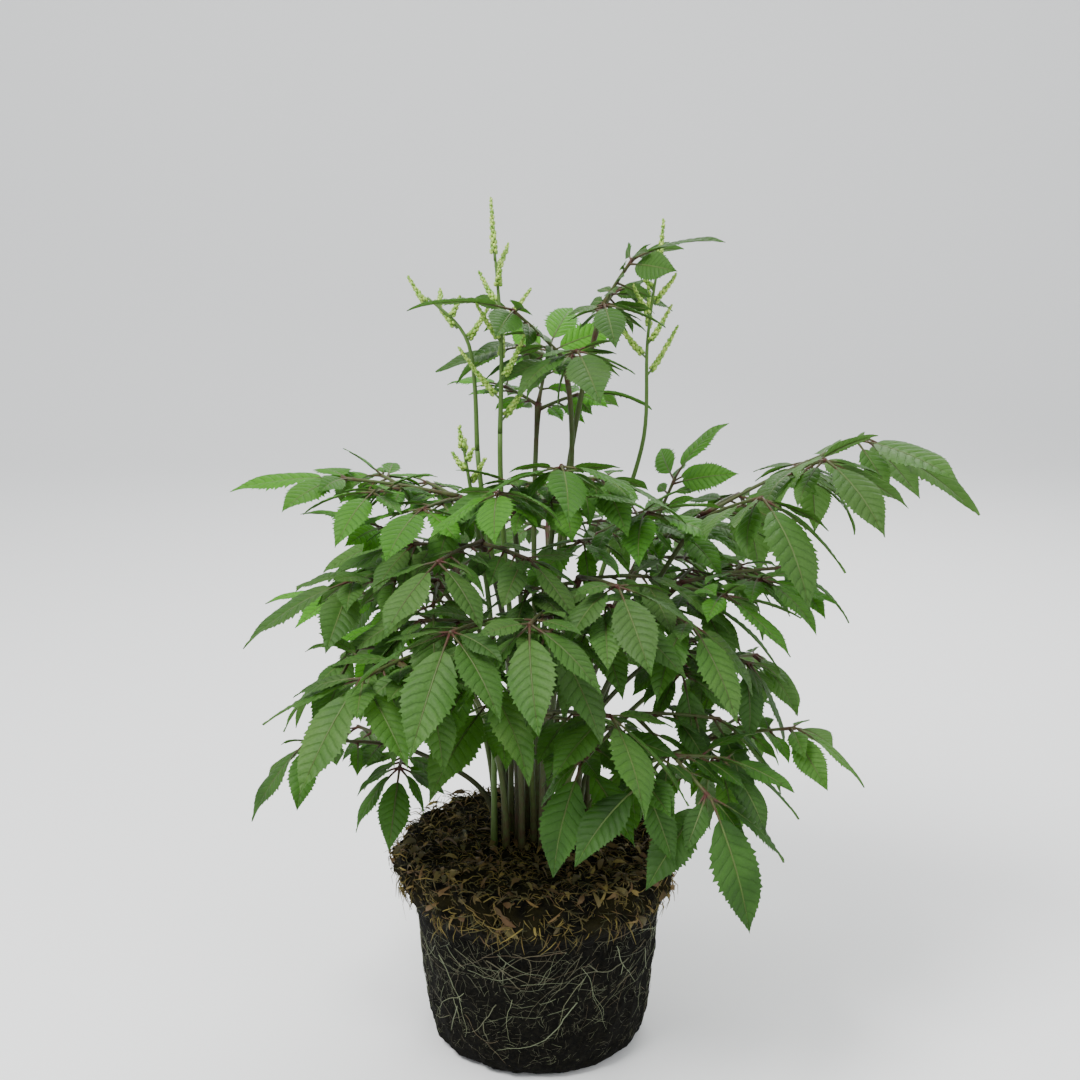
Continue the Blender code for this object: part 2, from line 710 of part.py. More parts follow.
def may_turn(edge):
    """Whether the edge can be turned to join the corners across it, which no edge joins yet."""
    across = [vert for face in edge.link_faces for vert in face.verts if vert not in edge.verts]
    return len(across) == 2 and all(e.other_vert(across[0]) is not across[1] for e in across[0].link_edges)


def drop_flaps(bm):
    """Removes pairs of faces that lie back to back on the same three corners, and what they leave bare."""
    twins = {}
    for face in bm.faces:
        twins.setdefault(frozenset(face.verts), []).append(face)
    flaps = [face for pair in twins.values() if len(pair) == 2 for face in pair]
    bmesh.ops.delete(bm, geom=flaps, context="FACES_ONLY")
    bare = [edge for edge in bm.edges if not edge.link_faces]
    bmesh.ops.delete(bm, geom=bare, context="EDGES")
    loose = [vert for vert in bm.verts if not vert.link_faces]
    bmesh.ops.delete(bm, geom=loose, context="VERTS")
    return len(flaps)


def without_slivers(bm, shortest):
    """A copy whose edges shorter than that are closed up and whose needle-thin faces are turned."""
    trial = bm.copy()
    bmesh.ops.triangulate(trial, faces=trial.faces[:])
    for _ in range(8):
        changed = drop_flaps(trial)
        short_edges = [edge for edge in trial.edges if edge.calc_length() < shortest]
        for edge in sorted(short_edges, key=lambda e: e.calc_length()):
            if not edge.is_valid or edge.calc_length() >= shortest:
                continue
            a, b = edge.verts
            near_a = {e.other_vert(a) for e in a.link_edges}
            near_b = {e.other_vert(b) for e in b.link_edges}
            if len(near_a & near_b) == 2 and len(near_a | near_b) > 5:
                bmesh.ops.pointmerge(trial, verts=[a, b], merge_co=(a.co + b.co) / 2)
                changed += 1
        for face in list(trial.faces):
            if face.is_valid:
                longest = max(face.edges, key=lambda e: e.calc_length())
                if face.calc_area() * 2 < longest.calc_length() * THINNEST and may_turn(longest):
                    changed += bmesh.utils.edge_rotate(longest) is not None
        if not changed:
            break
    return trial


def thinnest_face(bm):
    return min(face.calc_area() * 2 / max(edge.calc_length() for edge in face.edges) for face in bm.faces)


def tidy_union(obj):
    """Drops scraps, and closes the short edges left where pieces met as far as the body stays sound."""
    bm = bmesh.new()
    bm.from_mesh(obj.data)
    scraps = bodies_of(bm)[:-1]
    if scraps:
        print("scraps", obj.name, [len(body) for body in scraps])
    bmesh.ops.delete(bm, geom=[face for body in scraps for face in body], context="FACES")
    plain = without_slivers(bm, 0)
    before = self_crossings(plain)
    plain.free()
    for shortest in SLIVERS:
        trial = without_slivers(bm, shortest)
        fits = is_sound(trial) and self_crossings(trial) <= before and thinnest_face(trial) > THINNEST / 2
        if fits:
            trial.to_mesh(obj.data)
            trial.free()
            bm.free()
            return
        trial.free()
    print("left untidied", obj.name)
    bm.to_mesh(obj.data)
    bm.free()


def fused(name, shells, mat):
    """One body from shells that run into each other."""
    body = object_from(name, shells[0].points, shells[0].faces, mat)
    pieces = [object_from(f"{name}_{k}", shell.points, shell.faces, mat)
              for k, shell in enumerate(shells[1:])]
    boolean(body, pieces, "UNION")
    tidy_union(body)
    return body


def ball_point(angle, radius, height):
    """The root ball's surface: the pot's form, with lumps of moss over its collar and top."""
    x, y = radius * math.cos(angle), radius * math.sin(angle)
    mossy = min(max((height - COLLAR_FROM) / 0.012, 0), 1)
    rough = noise.noise(Vector((x, y, height)) * 85)
    crown = min(max((0.062 - radius) / 0.012, 0), 1) * mossy
    amount = WALL_LUMP + (MOSS_LUMP - WALL_LUMP) * mossy + (CROWN_LUMP - MOSS_LUMP) * crown
    if height < 0.001:
        amount = 0
    out = radius + rough * amount * (1 - crown) - mossy * (1 - crown) * COLLAR_BULGE * math.cos(angle)
    up = noise.noise(Vector((x, y, height + 3)) * 60) * amount * mossy
    return Vector((out * math.cos(angle), out * math.sin(angle), height + up))


def root_ball(spots, mat):
    rings = list(BALL_WALL) + [(radius, SOIL_HEIGHT) for radius in BALL_TOP_RADII]
    points = [ball_point(2 * math.pi * n / BALL_SIDES, radius, height)
              for radius, height in rings for n in range(BALL_SIDES)]
    faces = []
    for k in range(len(rings) - 1):
        for n in range(BALL_SIDES):
            m = (n + 1) % BALL_SIDES
            a, b = k * BALL_SIDES, (k + 1) * BALL_SIDES
            faces.append((a + n, a + m, b + m))
            faces.append((a + n, b + m, b + n))
    last = (len(rings) - 1) * BALL_SIDES
    points.append(Vector((0, 0, SOIL_HEIGHT)))
    faces += [(last + n, last + (n + 1) % BALL_SIDES, len(points) - 1) for n in range(BALL_SIDES)]
    faces.append(tuple(range(BALL_SIDES - 1, -1, -1)))
    ball = object_from("root_ball", points, faces, mat)
    across = (STALK_RADIUS + HOLE_GAP) / math.cos(math.pi / HOLE_SIDES)
    holes = []
    for k, spot in enumerate(spots):
        foot = Vector((spot.x, spot.y, SOIL_HEIGHT - STALK_DEPTH - HOLE_GAP))
        shell = tube([foot, foot + UP * (STALK_DEPTH + 0.02)], [across, across], HOLE_SIDES)
        hole = object_from(f"hole_{k}", shell.points, shell.faces, mat)
        hole.hide_render = True
        hole.display_type = "WIRE"
        holes.append(hole)
    boolean(ball, holes, "DIFFERENCE")
    tidy_union(ball)
    return ball


def triangles(obj):
    return sum(len(p.vertices) - 2 for p in obj.data.polygons)


def build():
    clear_scene()
    growth, spots, leaves = grow_plant()
    soil = material("soil", SOIL_BROWN, 0.95)
    leaf = material("leaf", LEAF_GREEN, 0.6)
    bud = material("bud", YOUNG_GREEN, 0.6)
    ball = root_ball(spots, soil)
    total = triangles(ball)
    print("root_ball", total)
    for name, shells in growth.shells.items():
        body = fused(name, shells, bud if name.startswith("flower") else leaf)
        print(name, len(shells), "pieces", len(leaves.get(name, ())), "leaflets", triangles(body))
        total += triangles(body)
    print("triangles", total, "leaflets", sum(len(group) for group in leaves.values()))


build()
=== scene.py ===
# %% [markdown]
# # An astilbe lifted out of its pot
# The plant is a dark root ball, some thirty fronds of toothed leaflets and four flower stems in green bud.
# It could be sculpted leaf by leaf, or scattered with particles. Here a short plan and a few rules grow it,
# so that every leaflet hangs on a branch and none passes through another frond.

# %% Load the frame
import math
import random
from collections import namedtuple

import bpy
from mathutils import Matrix, Vector, noise
from mathutils.bvhtree import BVHTree


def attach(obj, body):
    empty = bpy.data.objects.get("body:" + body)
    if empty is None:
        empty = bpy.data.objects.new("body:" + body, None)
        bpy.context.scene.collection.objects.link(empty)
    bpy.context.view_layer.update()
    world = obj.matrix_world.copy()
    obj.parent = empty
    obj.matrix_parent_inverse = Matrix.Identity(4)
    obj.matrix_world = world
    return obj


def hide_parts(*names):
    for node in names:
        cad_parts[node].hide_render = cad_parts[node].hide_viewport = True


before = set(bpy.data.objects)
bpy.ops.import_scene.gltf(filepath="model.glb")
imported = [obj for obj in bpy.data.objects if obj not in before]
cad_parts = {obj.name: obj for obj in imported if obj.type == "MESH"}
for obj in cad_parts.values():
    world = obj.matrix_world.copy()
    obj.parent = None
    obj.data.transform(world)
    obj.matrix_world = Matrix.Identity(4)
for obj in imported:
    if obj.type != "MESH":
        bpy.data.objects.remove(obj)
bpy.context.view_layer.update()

# %% [markdown]
# The plan of the fronds. Each line is one frond: where its stalk forks, where its middle branch ends, and
# how large and how heavy its leaflets are. A plan gives the plant its own outline, which a random
# scatter never does.

# %% Plan of the fronds
# A frond: its hub, where the stalk forks, and the node at the end of its middle branch.
# Roll turns the frond about that branch, and pairs is how many pairs of side branches it has.
# Leaf is the length of its largest leaflet, sides is how many leaflets a side branch carries,
# and droop is how far the leaflets hang below their branches, in degrees.
Frond = namedtuple("Frond", "name hub end roll pairs leaf sides droop")
FRONDS = (
    Frond("frond_front_low_right", (0.050, -0.060, 0.218), (0.086, -0.112, 0.192), 3, 2, 0.057, 3, 38),
    Frond("frond_front", (0.000, -0.050, 0.214), (0.036, -0.103, 0.232), -22, 1, 0.056, 3, 42),
    Frond("frond_low_left", (-0.077, -0.005, 0.178), (-0.128, -0.030, 0.190), 0, 1, 0.044, 3, 45),
    Frond("frond_left_middle", (-0.052, -0.066, 0.256), (-0.086, -0.118, 0.256), 0, 2, 0.056, 3, 32),
    Frond("frond_left_wide", (-0.055, -0.030, 0.282), (-0.098, -0.052, 0.288), -8, 1, 0.054, 2, 20),
    Frond("frond_front_left", (-0.022, -0.070, 0.272), (-0.042, -0.122, 0.281), 0, 1, 0.054, 3, 40),
    Frond("frond_front_middle", (0.006, -0.066, 0.276), (-0.004, -0.118, 0.284), 12, 1, 0.052, 3, 40),
    Frond("frond_upper_front_left", (-0.030, -0.040, 0.306), (-0.050, -0.088, 0.307), -3, 1, 0.043, 3, 20),
    Frond("frond_centre", (0.022, -0.038, 0.286), (0.040, -0.086, 0.294), 0, 1, 0.046, 3, 30),
    Frond("frond_centre_right", (0.052, -0.028, 0.270), (0.078, -0.076, 0.272), 0, 1, 0.052, 3, 36),
    Frond("frond_right_middle", (0.078, -0.012, 0.276), (0.136, -0.002, 0.282), -5, 2, 0.048, 3, 24),
    Frond("frond_right_lower", (0.072, -0.006, 0.236), (0.118, -0.014, 0.230), 0, 1, 0.044, 3, 44),
    Frond("frond_right_high", (0.090, 0.000, 0.311), (0.180, 0.006, 0.354), -13, 2, 0.062, 3, 44),
    Frond("frond_upper_left", (-0.044, 0.000, 0.322), (-0.108, -0.004, 0.333), 0, 2, 0.050, 3, 8),
    Frond("frond_top_centre", (0.010, -0.014, 0.334), (0.012, -0.052, 0.349), 0, 1, 0.048, 3, 22),
    Frond("frond_top_front", (-0.014, -0.022, 0.322), (-0.020, -0.066, 0.338), 6, 1, 0.044, 2, 20),
    Frond("frond_inner_high", (0.034, 0.004, 0.300), (0.060, -0.022, 0.318), 0, 1, 0.048, 2, 20),
    Frond("frond_right_top", (0.066, 0.044, 0.290), (0.080, 0.052, 0.322), 0, 1, 0.042, 2, 10),
    Frond("frond_left_young", (-0.056, 0.030, 0.272), (-0.090, 0.020, 0.300), 0, 1, 0.038, 2, 10),
    Frond("frond_left_behind", (-0.064, 0.040, 0.240), (-0.108, 0.044, 0.256), 0, 1, 0.046, 2, 20),
    Frond("frond_top_left", (0.014, 0.020, 0.396), (-0.014, 0.002, 0.424), 0, 1, 0.054, 3, 26),
    Frond("frond_top_right", (0.036, 0.030, 0.424), (0.052, 0.024, 0.450), 10, 1, 0.042, 2, 26),
    Frond("frond_behind_top", (0.000, 0.056, 0.366), (0.006, 0.074, 0.396), 0, 1, 0.044, 2, 15),
    Frond("frond_back_left", (-0.052, 0.080, 0.262), (-0.086, 0.120, 0.272), 0, 1, 0.054, 2, 30),
    Frond("frond_back", (0.006, 0.092, 0.284), (0.004, 0.144, 0.296), 0, 1, 0.056, 3, 30),
    Frond("frond_back_right", (0.064, 0.082, 0.270), (0.104, 0.118, 0.280), 0, 1, 0.054, 2, 30),
    Frond("frond_back_low", (0.018, 0.096, 0.205), (0.022, 0.148, 0.204), 0, 1, 0.048, 2, 35),
    Frond("frond_right_back_low", (0.088, 0.056, 0.205), (0.136, 0.076, 0.206), 3, 1, 0.048, 2, 35),
    Frond("frond_low_right", (0.094, -0.018, 0.186), (0.142, -0.030, 0.198), 0, 1, 0.042, 2, 40),
)
print("fronds", len(FRONDS), "highest node", max(frond.end[2] for frond in FRONDS))

# %% [markdown]
# The plan of the flower stems. They stand thin and nearly straight among the upper fronds. Each one is a
# bare stem that passes a few points, with side spikes of buds from a certain height up.

# %% Plan of the flower stems
# A flower stem: the points that it passes above the soil, the height where its side spikes begin,
# how many of them it bears and the length of the lowest.
Flower = namedtuple("Flower", "name route spikes_from spikes longest")
FLOWERS = (
    Flower("flower_stem_left", ((-0.021, 0.008, 0.356), (-0.020, 0.004, 0.409), (-0.023, 0.0, 0.454)),
           0.362, 9, 0.034),
    Flower("flower_stem_right", ((0.046, 0.034, 0.300), (0.060, 0.032, 0.350), (0.061, 0.030, 0.404),
                                 (0.066, 0.030, 0.446)), 0.385, 8, 0.030),
    Flower("flower_stem_far_left", ((-0.034, 0.016, 0.345), (-0.038, 0.014, 0.404), (-0.060, 0.010, 0.430)),
           0.406, 4, 0.020),
    Flower("flower_stem_front", ((-0.030, -0.018, 0.290), (-0.036, -0.022, 0.330), (-0.040, -0.024, 0.356)),
           0.334, 4, 0.014),
)
print("flower stems", len(FLOWERS), "side spikes", sum(flower.spikes for flower in FLOWERS))

# %% [markdown]
# Directions. A branch leaves its stalk at an angle and a leaflet faces the light, so the rules turn one
# direction about another, and square one to another. Angles about X, Y and Z could say the same, but they
# are hard to add up along a branch, while vectors follow it wherever it goes.

# %% Turn and square a direction
UP = Vector((0, 0, 1))


def turned(vector, axis, angle):
    return Matrix.Rotation(angle, 3, axis) @ vector


def square_to(vector, axis):
    """The unit part of vector that is square to axis."""
    flat = vector - axis * vector.dot(axis)
    if flat.length < 1e-6:
        flat = axis.orthogonal()
    return flat.normalized()


print("+X turned a quarter about +Z", turned(Vector((1, 0, 0)), UP, math.radians(90)).to_tuple(3))

# %% [markdown]
# Curves. A stalk bends in one long sweep. A curve object could draw it, but its points are wanted straight
# away, to look for room with, so a cubic curve is worked out from its four corners.

# %% Draw a curve
def bezier(a, b, c, d, steps):
    """Points along a cubic curve from a to d, both included."""
    points = []
    for k in range(steps + 1):
        t = k / steps
        s = 1 - t
        points.append(a * s**3 + b * 3 * s * s * t + c * 3 * s * t * t + d * t**3)
    return points


def smooth_route(corners, steps):
    """A rounded curve through the corners, with that many steps to each span."""
    points = [corners[0]]
    for k in range(len(corners) - 1):
        a, d = corners[k], corners[k + 1]
        before = corners[max(k - 1, 0)]
        after = corners[min(k + 2, len(corners) - 1)]
        points += bezier(a, a + (d - before) / 6, d - (after - a) / 6, d, steps)[1:]
    return points


print("points of a curve in four steps", len(bezier(UP * 0, UP, UP * 2, UP * 3, 4)))

# %% [markdown]
# A piece that finds its place taken looks for room a little further out each time. It could try places at
# random, but a spiral by the golden angle tries the near ones first and no direction twice, as the seeds
# of a sunflower are packed.

# %% Look further out each time
GOLDEN_ANGLE = math.radians(137.5)


def spiral(count):
    """Offsets that wander outwards by the golden angle, about one unit apart."""
    return [(math.sqrt(k) * math.cos(k * GOLDEN_ANGLE), math.sqrt(k) * math.sin(k * GOLDEN_ANGLE))
            for k in range(count)]


print("the hundredth try is", round(math.hypot(*spiral(100)[-1]), 1), "steps out")

# %% [markdown]
# Shells are points and faces, not yet a mesh. Each stalk and blade first gets a simple one, with the form
# of its solid, and the rules use it to keep the fronds out of each other before any fine leaf is made. A
# stalk's shell is a closed tube, whose rings are carried along so that it doesn't twist.

# %% A tube
Shell = namedtuple("Shell", "points faces")


def tube(points, radii, sides):
    """A closed tube along the points. Its rings turn as little as they can."""
    count = len(points)
    verts, faces = [], []
    side = None
    for k, point in enumerate(points):
        ahead = (points[min(k + 1, count - 1)] - points[max(k - 1, 0)]).normalized()
        side = square_to(side if side is not None else ahead.orthogonal(), ahead)
        other = ahead.cross(side)
        for n in range(sides):
            a = 2 * math.pi * n / sides
            verts.append(point + (side * math.cos(a) + other * math.sin(a)) * radii[k])
    for k in range(count - 1):
        for n in range(sides):
            m = (n + 1) % sides
            faces.append((k * sides + n, k * sides + m, (k + 1) * sides + m, (k + 1) * sides + n))
    faces.append(tuple(range(sides - 1, -1, -1)))
    faces.append(tuple(range((count - 1) * sides, count * sides)))
    return Shell(verts, faces)


print("faces of a short four-sided tube", len(tube([UP * 0, UP], [0.1, 0.1], 4).faces))

# %% [markdown]
# The outline of a leaflet rises quickly from its base, is widest below its middle and ends in a point. It
# could be a list of points. One product of two powers gives the whole curve with two numbers.

# %% Outline of a leaflet
LEAF_BASE = 0.75
LEAF_TIP = 1.12


def leaf_outline(s):
    """Half the leaflet's width at s of its length, as a share of the widest half."""
    widest = LEAF_BASE / (LEAF_BASE + LEAF_TIP)
    top = widest**LEAF_BASE * (1 - widest) ** LEAF_TIP
    return max(s, 0) ** LEAF_BASE * max(1 - s, 0) ** LEAF_TIP / top


print("half width at a tenth and at nine tenths", round(leaf_outline(0.1), 2), round(leaf_outline(0.9), 2))

# %% [markdown]
# A leaflet isn't flat. It is folded along its rib, its margins curl down again and it arches towards its
# tip. Modifiers could bend a flat blade, but a formula gives any point of it, so that the simple shell and
# the fine leaf later lie in exactly the same place.

# %% A point of an arched leaflet
# A leaflet: where its blade starts, the way it points, the way its upper face looks, and its form
Leaf = namedtuple("Leaf", "base aim face length width bend teeth")
LEAF_WIDTH = 0.48
FOLD = math.radians(15)
MARGIN_CURL = 0.30


def leaf_point(leaf, s, u, lift):
    """The point at s along the leaflet and u across it, from -1 to 1 between its margins."""
    turn = leaf.bend * s
    out = leaf.length * math.sin(turn) / leaf.bend
    down = leaf.length * (1 - math.cos(turn)) / leaf.bend
    side = leaf.aim.cross(leaf.face)
    face = leaf.face * math.cos(turn) + leaf.aim * math.sin(turn)
    across = u * leaf.width / 2 * leaf_outline(s)
    rise = math.tan(FOLD) * abs(across) - MARGIN_CURL * across * across / (leaf.width / 2)
    return leaf.base + leaf.aim * out - leaf.face * down + side * across + face * (rise + lift)


sample = Leaf(Vector(), Vector((1, 0, 0)), UP, 0.05, 0.05 * LEAF_WIDTH, 0.5, 3)
print("tip of a 50 mm leaflet", [round(1000 * c, 1) for c in leaf_point(sample, 1.0, 0.0, 0.0)], "mm")

# %% [markdown]
# The simple blade has two or three large teeth on each side, which is enough to look for room with. The
# many small teeth of the real leaf come later, in the fine mesh.

# %% Teeth of the simple blade
FIRST_TOOTH = 0.13
TOOTHED_SHARE = 0.80
TOOTH_PEAK = 0.70
TOOTH_DEPTH = 0.14


def leaf_margin(teeth):
    """Points along one margin: how far along, and how far out as a share of the plain outline."""
    margin = []
    for k in range(teeth):
        notch = FIRST_TOOTH + TOOTHED_SHARE * k / teeth
        if k:
            margin.append((notch, 1 - TOOTH_DEPTH))
        margin.append((notch + TOOTH_PEAK * TOOTHED_SHARE / teeth, 1 + TOOTH_DEPTH))
    return margin


print("points along a margin with three teeth", len(leaf_margin(3)))

# %% [markdown]
# The blade's shell is closed: an upper and a lower skin that meet at the margin, thickest along the rib.
# A flat sheet with a Solidify modifier would be quicker to write, but its edge would be blunt.

# %% A simple blade
LEAF_THICK = 0.0012
BLADE_START = 0.05
START_WIDTH = 0.6


def blade_shell(leaf, ribs):
    """A closed toothed blade, thickest along its rib, open at the four-sided ring where it starts."""
    lift = LEAF_THICK / 2
    margin = leaf_margin(leaf.teeth)
    points, faces = [], []

    def add(s, u, up):
        points.append(leaf_point(leaf, s, u, up))
        return len(points) - 1

    rib_steps = [BLADE_START + (1 - BLADE_START) * k / ribs for k in range(ribs)] + [1.0]
    side_steps = [BLADE_START] + [s for s, _ in margin] + [1.0]
    right = [add(BLADE_START, START_WIDTH, -lift)] + [add(s, u, 0) for s, u in margin]
    left = [add(BLADE_START, -START_WIDTH, -lift)] + [add(s, -u, 0) for s, u in margin]
    tip = add(1.0, 0, 0)
    top = [add(s, 0, lift) for s in rib_steps[:-1]]
    under = [add(s, 0, -lift) for s in rib_steps[1:-1]]

    def web(rib, side, flip):
        """Triangles between the rib and one margin, split alike on both faces."""
        a, b = 0, 0
        while a < ribs or b < len(side) - 1:
            if a < ribs and (b == len(side) - 1 or rib_steps[a + 1] <= side_steps[b + 1]):
                face = (rib[a], rib[a + 1], side[b])
                a += 1
            else:
                face = (rib[a], side[b + 1], side[b])
                b += 1
            if len(set(face)) == 3:
                faces.append(face[::-1] if flip else face)

    web(top + [tip], right + [tip], True)
    web(top + [tip], left + [tip], False)
    web([right[0]] + under + [tip], right + [tip], False)
    web([left[0]] + under + [tip], left + [tip], True)
    faces.append((right[0], left[0], under[0]))
    return Shell(points, faces), [right[0], top[0], left[0]]


print("faces of a simple blade", len(blade_shell(sample, 2)[0].faces))

# %% [markdown]
# A blade grows out of its twig, and the twig out of its branch, as one skin. They could be three shells
# pushed into each other. One skin leaves no hidden ends, which matters when a solid is made of it.

# %% A blade with its twig
TWIG_CORNERS = ((0.87, -0.5), (0.0, 1.0), (-0.87, -0.5))


def leaflet_shell(leaf, route, radii):
    """A blade that grows out of its three-sided twig, and the twig out of its branch.

    The route runs back from the blade to where the twig or branch begins, inside its parent.
    """
    shell, ring = blade_shell(leaf, 2)
    ahead = leaf.base
    for point, radius in zip(route, radii):
        along = (ahead - point).normalized()
        side = square_to(leaf.aim.cross(leaf.face), along)
        up = side.cross(along)
        first = len(shell.points)
        for across, above in TWIG_CORNERS:
            shell.points.append(point + (side * across + up * above) * radius)
        for n in range(3):
            m = (n + 1) % 3
            shell.faces.append((ring[n], ring[m], first + m, first + n))
        ring = [first, first + 1, first + 2]
        ahead = point
    shell.faces.append(tuple(ring))
    return shell


print("points with a twig", len(leaflet_shell(sample, [Vector((-0.01, 0, 0))], [0.001]).points))

# %% [markdown]
# Room. Two shells meet if any of their faces cross. Testing each face against each would take minutes, so
# the faces go into a tree of boxes, which answers at once.

# %% A tree of faces
def tree_of(shells):
    points, faces = [], []
    for shell in shells:
        start = len(points)
        points += shell.points
        faces += [tuple(i + start for i in face) for face in shell.faces]
    return BVHTree.FromPolygons(points, faces)


post = tube([UP * -0.1, UP * 0.1], [0.01, 0.01], 4)
meets = tree_of([post]).overlap(tree_of([blade_shell(sample, 2)[0]]))
print("a leaflet and a post through it have", len(meets), "pairs of faces that meet")

# %% [markdown]
# Leaves that merely don't touch would still look stuck together. Each new blade is therefore tested a
# little wider and longer than it is, once above and once below itself, so that a gap stays.

# %% A blade with air round it
# Room that each new piece keeps from the other fronds and stems
CLEARANCE = 0.0006


def blade_guard(leaf):
    """The blade doubled, a little above and below itself, for telling whether it has room."""
    wide = leaf._replace(width=leaf.width + 2 * CLEARANCE, length=leaf.length + 2 * CLEARANCE)
    shell, _ = blade_shell(wide, 2)
    count = len(shell.points)
    shift = leaf.face * CLEARANCE
    points = [p + shift for p in shell.points] + [p - shift for p in shell.points]
    return Shell(points, shell.faces + [tuple(i + count for i in face) for face in shell.faces])


print("faces of a guarded blade", len(blade_guard(sample).faces))

# %% [markdown]
# What has grown is written down: the shells of each node with their tree, and the few numbers that each
# stalk, branch, leaflet and spike was grown from. The fine meshes are made from those numbers later.

# %% What has grown so far
class Growth:
    """What each node holds so far, and whether something new has room among the others."""

    def __init__(self):
        self.shells = {}
        self.trees = {}
        self.stalks = {}
        self.branches = {}
        self.leaves = {}
        self.spikes = {}

    def add(self, name, shell):
        self.shells.setdefault(name, []).append(shell)
        self.trees[name] = tree_of(self.shells[name])
        return len(self.shells[name]) - 1

    def swap(self, name, index, shell):
        self.shells[name][index] = shell
        self.trees[name] = tree_of(self.shells[name])

    def crosses(self, name, guard):
        """Whether the guard meets any node other than its own."""
        tree = tree_of([guard])
        return any(tree.overlap(other) for key, other in self.trees.items() if key != name)


growth = Growth()
print("nodes grown so far", len(growth.shells))

# %% [markdown]
# Where the stalks leave the soil. They come up close together from one crown, each a little towards the
# side where its frond hangs. Scattered starts would cross the stalks, so each start is its hub drawn in
# towards the crown, and moved out along the spiral until it stands free of the others.

# %% Where the stalks leave the soil
CROWN = Vector((-0.004, 0.010, 0))
CROWN_SHARE = 0.30
CROWN_REACH = 0.044
ROOT_SPACING = 0.0080
SPOT_TRIES, SPOT_STEP = 400, 0.0015


def root_spots(firsts):
    """Where each stalk leaves the soil: its hub drawn in towards the crown, and pushed apart."""
    spots = []
    for first in firsts:
        pull = (Vector((first.x, first.y, 0)) - CROWN) * CROWN_SHARE
        if pull.length > CROWN_REACH:
            pull *= CROWN_REACH / pull.length
        for dx, dy in spiral(SPOT_TRIES):
            spot = CROWN + pull + Vector((dx, dy, 0)) * SPOT_STEP
            if all((spot - other).length > ROOT_SPACING for other in spots):
                break
        spots.append(spot)
    return spots


hubs = [Vector(frond.hub) for frond in FRONDS]
spots = root_spots(hubs + [Vector(flower.route[0]) for flower in FLOWERS])
frond_spots, flower_spots = spots[:len(FRONDS)], spots[len(FRONDS):]
print("starts", len(spots), "furthest from the crown", round(max((s - CROWN).length for s in spots), 3))

# %% [markdown]
# A stalk rises upright out of the soil, leans out in one long sweep and enters its hub nearly along the
# middle branch. Straight stalks would look like wires stuck in the soil.

# %% The sweep of a stalk
SOIL_HEIGHT = 0.118
STALK_DEPTH = 0.010
STALK_UPRIGHT = 0.007
STALK_RISE = 0.42
STALK_ENTER = 0.30
SHIFT_AT_HUB = 0.6


def stalk_route(spot, through, arrive, shift, steps):
    """Upright out of the soil, then a long curve to the hub, which it enters along arrive."""
    foot = Vector((spot.x, spot.y, SOIL_HEIGHT - STALK_DEPTH))
    neck = Vector((spot.x, spot.y, SOIL_HEIGHT + STALK_UPRIGHT))
    rise = (through - neck).length
    lean = neck + UP * rise * STALK_RISE + shift
    enter = through - arrive * rise * STALK_ENTER + shift * SHIFT_AT_HUB
    return [foot] + bezier(neck, lean, enter, through, steps)


print("points of a stalk in four steps", len(stalk_route(spots[0], hubs[0], UP, Vector(), 4)))

# %% [markdown]
# The stalk is tried with its sweep pushed a little to one side and then another, until it passes every
# other stalk. Only the sweep moves, and its two ends stay where the plan puts them.

# %% Find room for a stalk
STALK_RADIUS = 0.0017
HUB_RADIUS = 0.0024
BELOW_HUB = 0.9
STALK_STEPS, STALK_SIDES = 4, 4
STALK_TRIES, STALK_STEP = 140, 0.0024


def place_stalk(name, spot, hub, arrive):
    """The first sweep, of those that wander out from the plain one, with room among the rest."""
    for dx, dy in spiral(STALK_TRIES):
        shift = Vector((dx, dy, 0)) * STALK_STEP
        route = stalk_route(spot, hub, arrive, shift, STALK_STEPS)
        radii = [STALK_RADIUS] * (len(route) - 2) + [STALK_RADIUS * BELOW_HUB, HUB_RADIUS]
        guard = tube(route, [r + CLEARANCE for r in radii], STALK_SIDES)
        if not growth.crosses(name, guard):
            growth.add(name, tube(route, radii, STALK_SIDES))
            growth.stalks[name] = (spot, hub, arrive, shift)
            return route
    raise ValueError("no room for stalk " + name)


print("ways to push a stalk aside", STALK_TRIES)

# %% [markdown]
# The flower stems grow first, because they stand upright and can't give way. Each is a stalk to the first
# point of its plan, and a slimmer tube from there to its tip.

# %% Grow the flower stems
STEM_BASE_RADIUS = 0.00168
STEM_TIP_RADIUS = 0.0008
STEM_OVERLAP = 0.004


def grow_flower(flower, spot):
    """The stem of one flower plan, and the points of its upper part."""
    corners = [Vector(p) for p in flower.route]
    rise = (corners[1] - corners[0]).normalized()
    stalk = place_stalk(flower.name, spot, corners[0], rise)
    upper = smooth_route(corners, 2)
    radii = [STEM_BASE_RADIUS + (STEM_TIP_RADIUS - STEM_BASE_RADIUS) * k / (len(upper) - 1)
             for k in range(len(upper))]
    first = stalk[-1] - rise * STEM_OVERLAP
    growth.add(flower.name, tube([first] + upper, [radii[0]] + radii, STALK_SIDES))
    return upper


uppers = [grow_flower(flower, spot) for flower, spot in zip(FLOWERS, flower_spots)]
print("flower stems", len(uppers), "tips at", [round(upper[-1].z, 3) for upper in uppers])

# %% [markdown]
# The stalks of the fronds follow, each one past the stems and past the stalks before it. The first in the
# plan have the first choice, so the plan starts with the large fronds in front.

# %% Grow the stalks
HUB_LEAN = 0.55

ways = []
for frond, spot, hub in zip(FRONDS, frond_spots, hubs):
    aim = (Vector(frond.end) - hub).normalized()
    rise = (hub - Vector((spot.x, spot.y, SOIL_HEIGHT))).normalized()
    arrive = (aim * HUB_LEAN + rise).normalized()
    place_stalk(frond.name, spot, hub, arrive)
    ways.append((aim, arrive))
print("stalks and stems", len(growth.stalks))

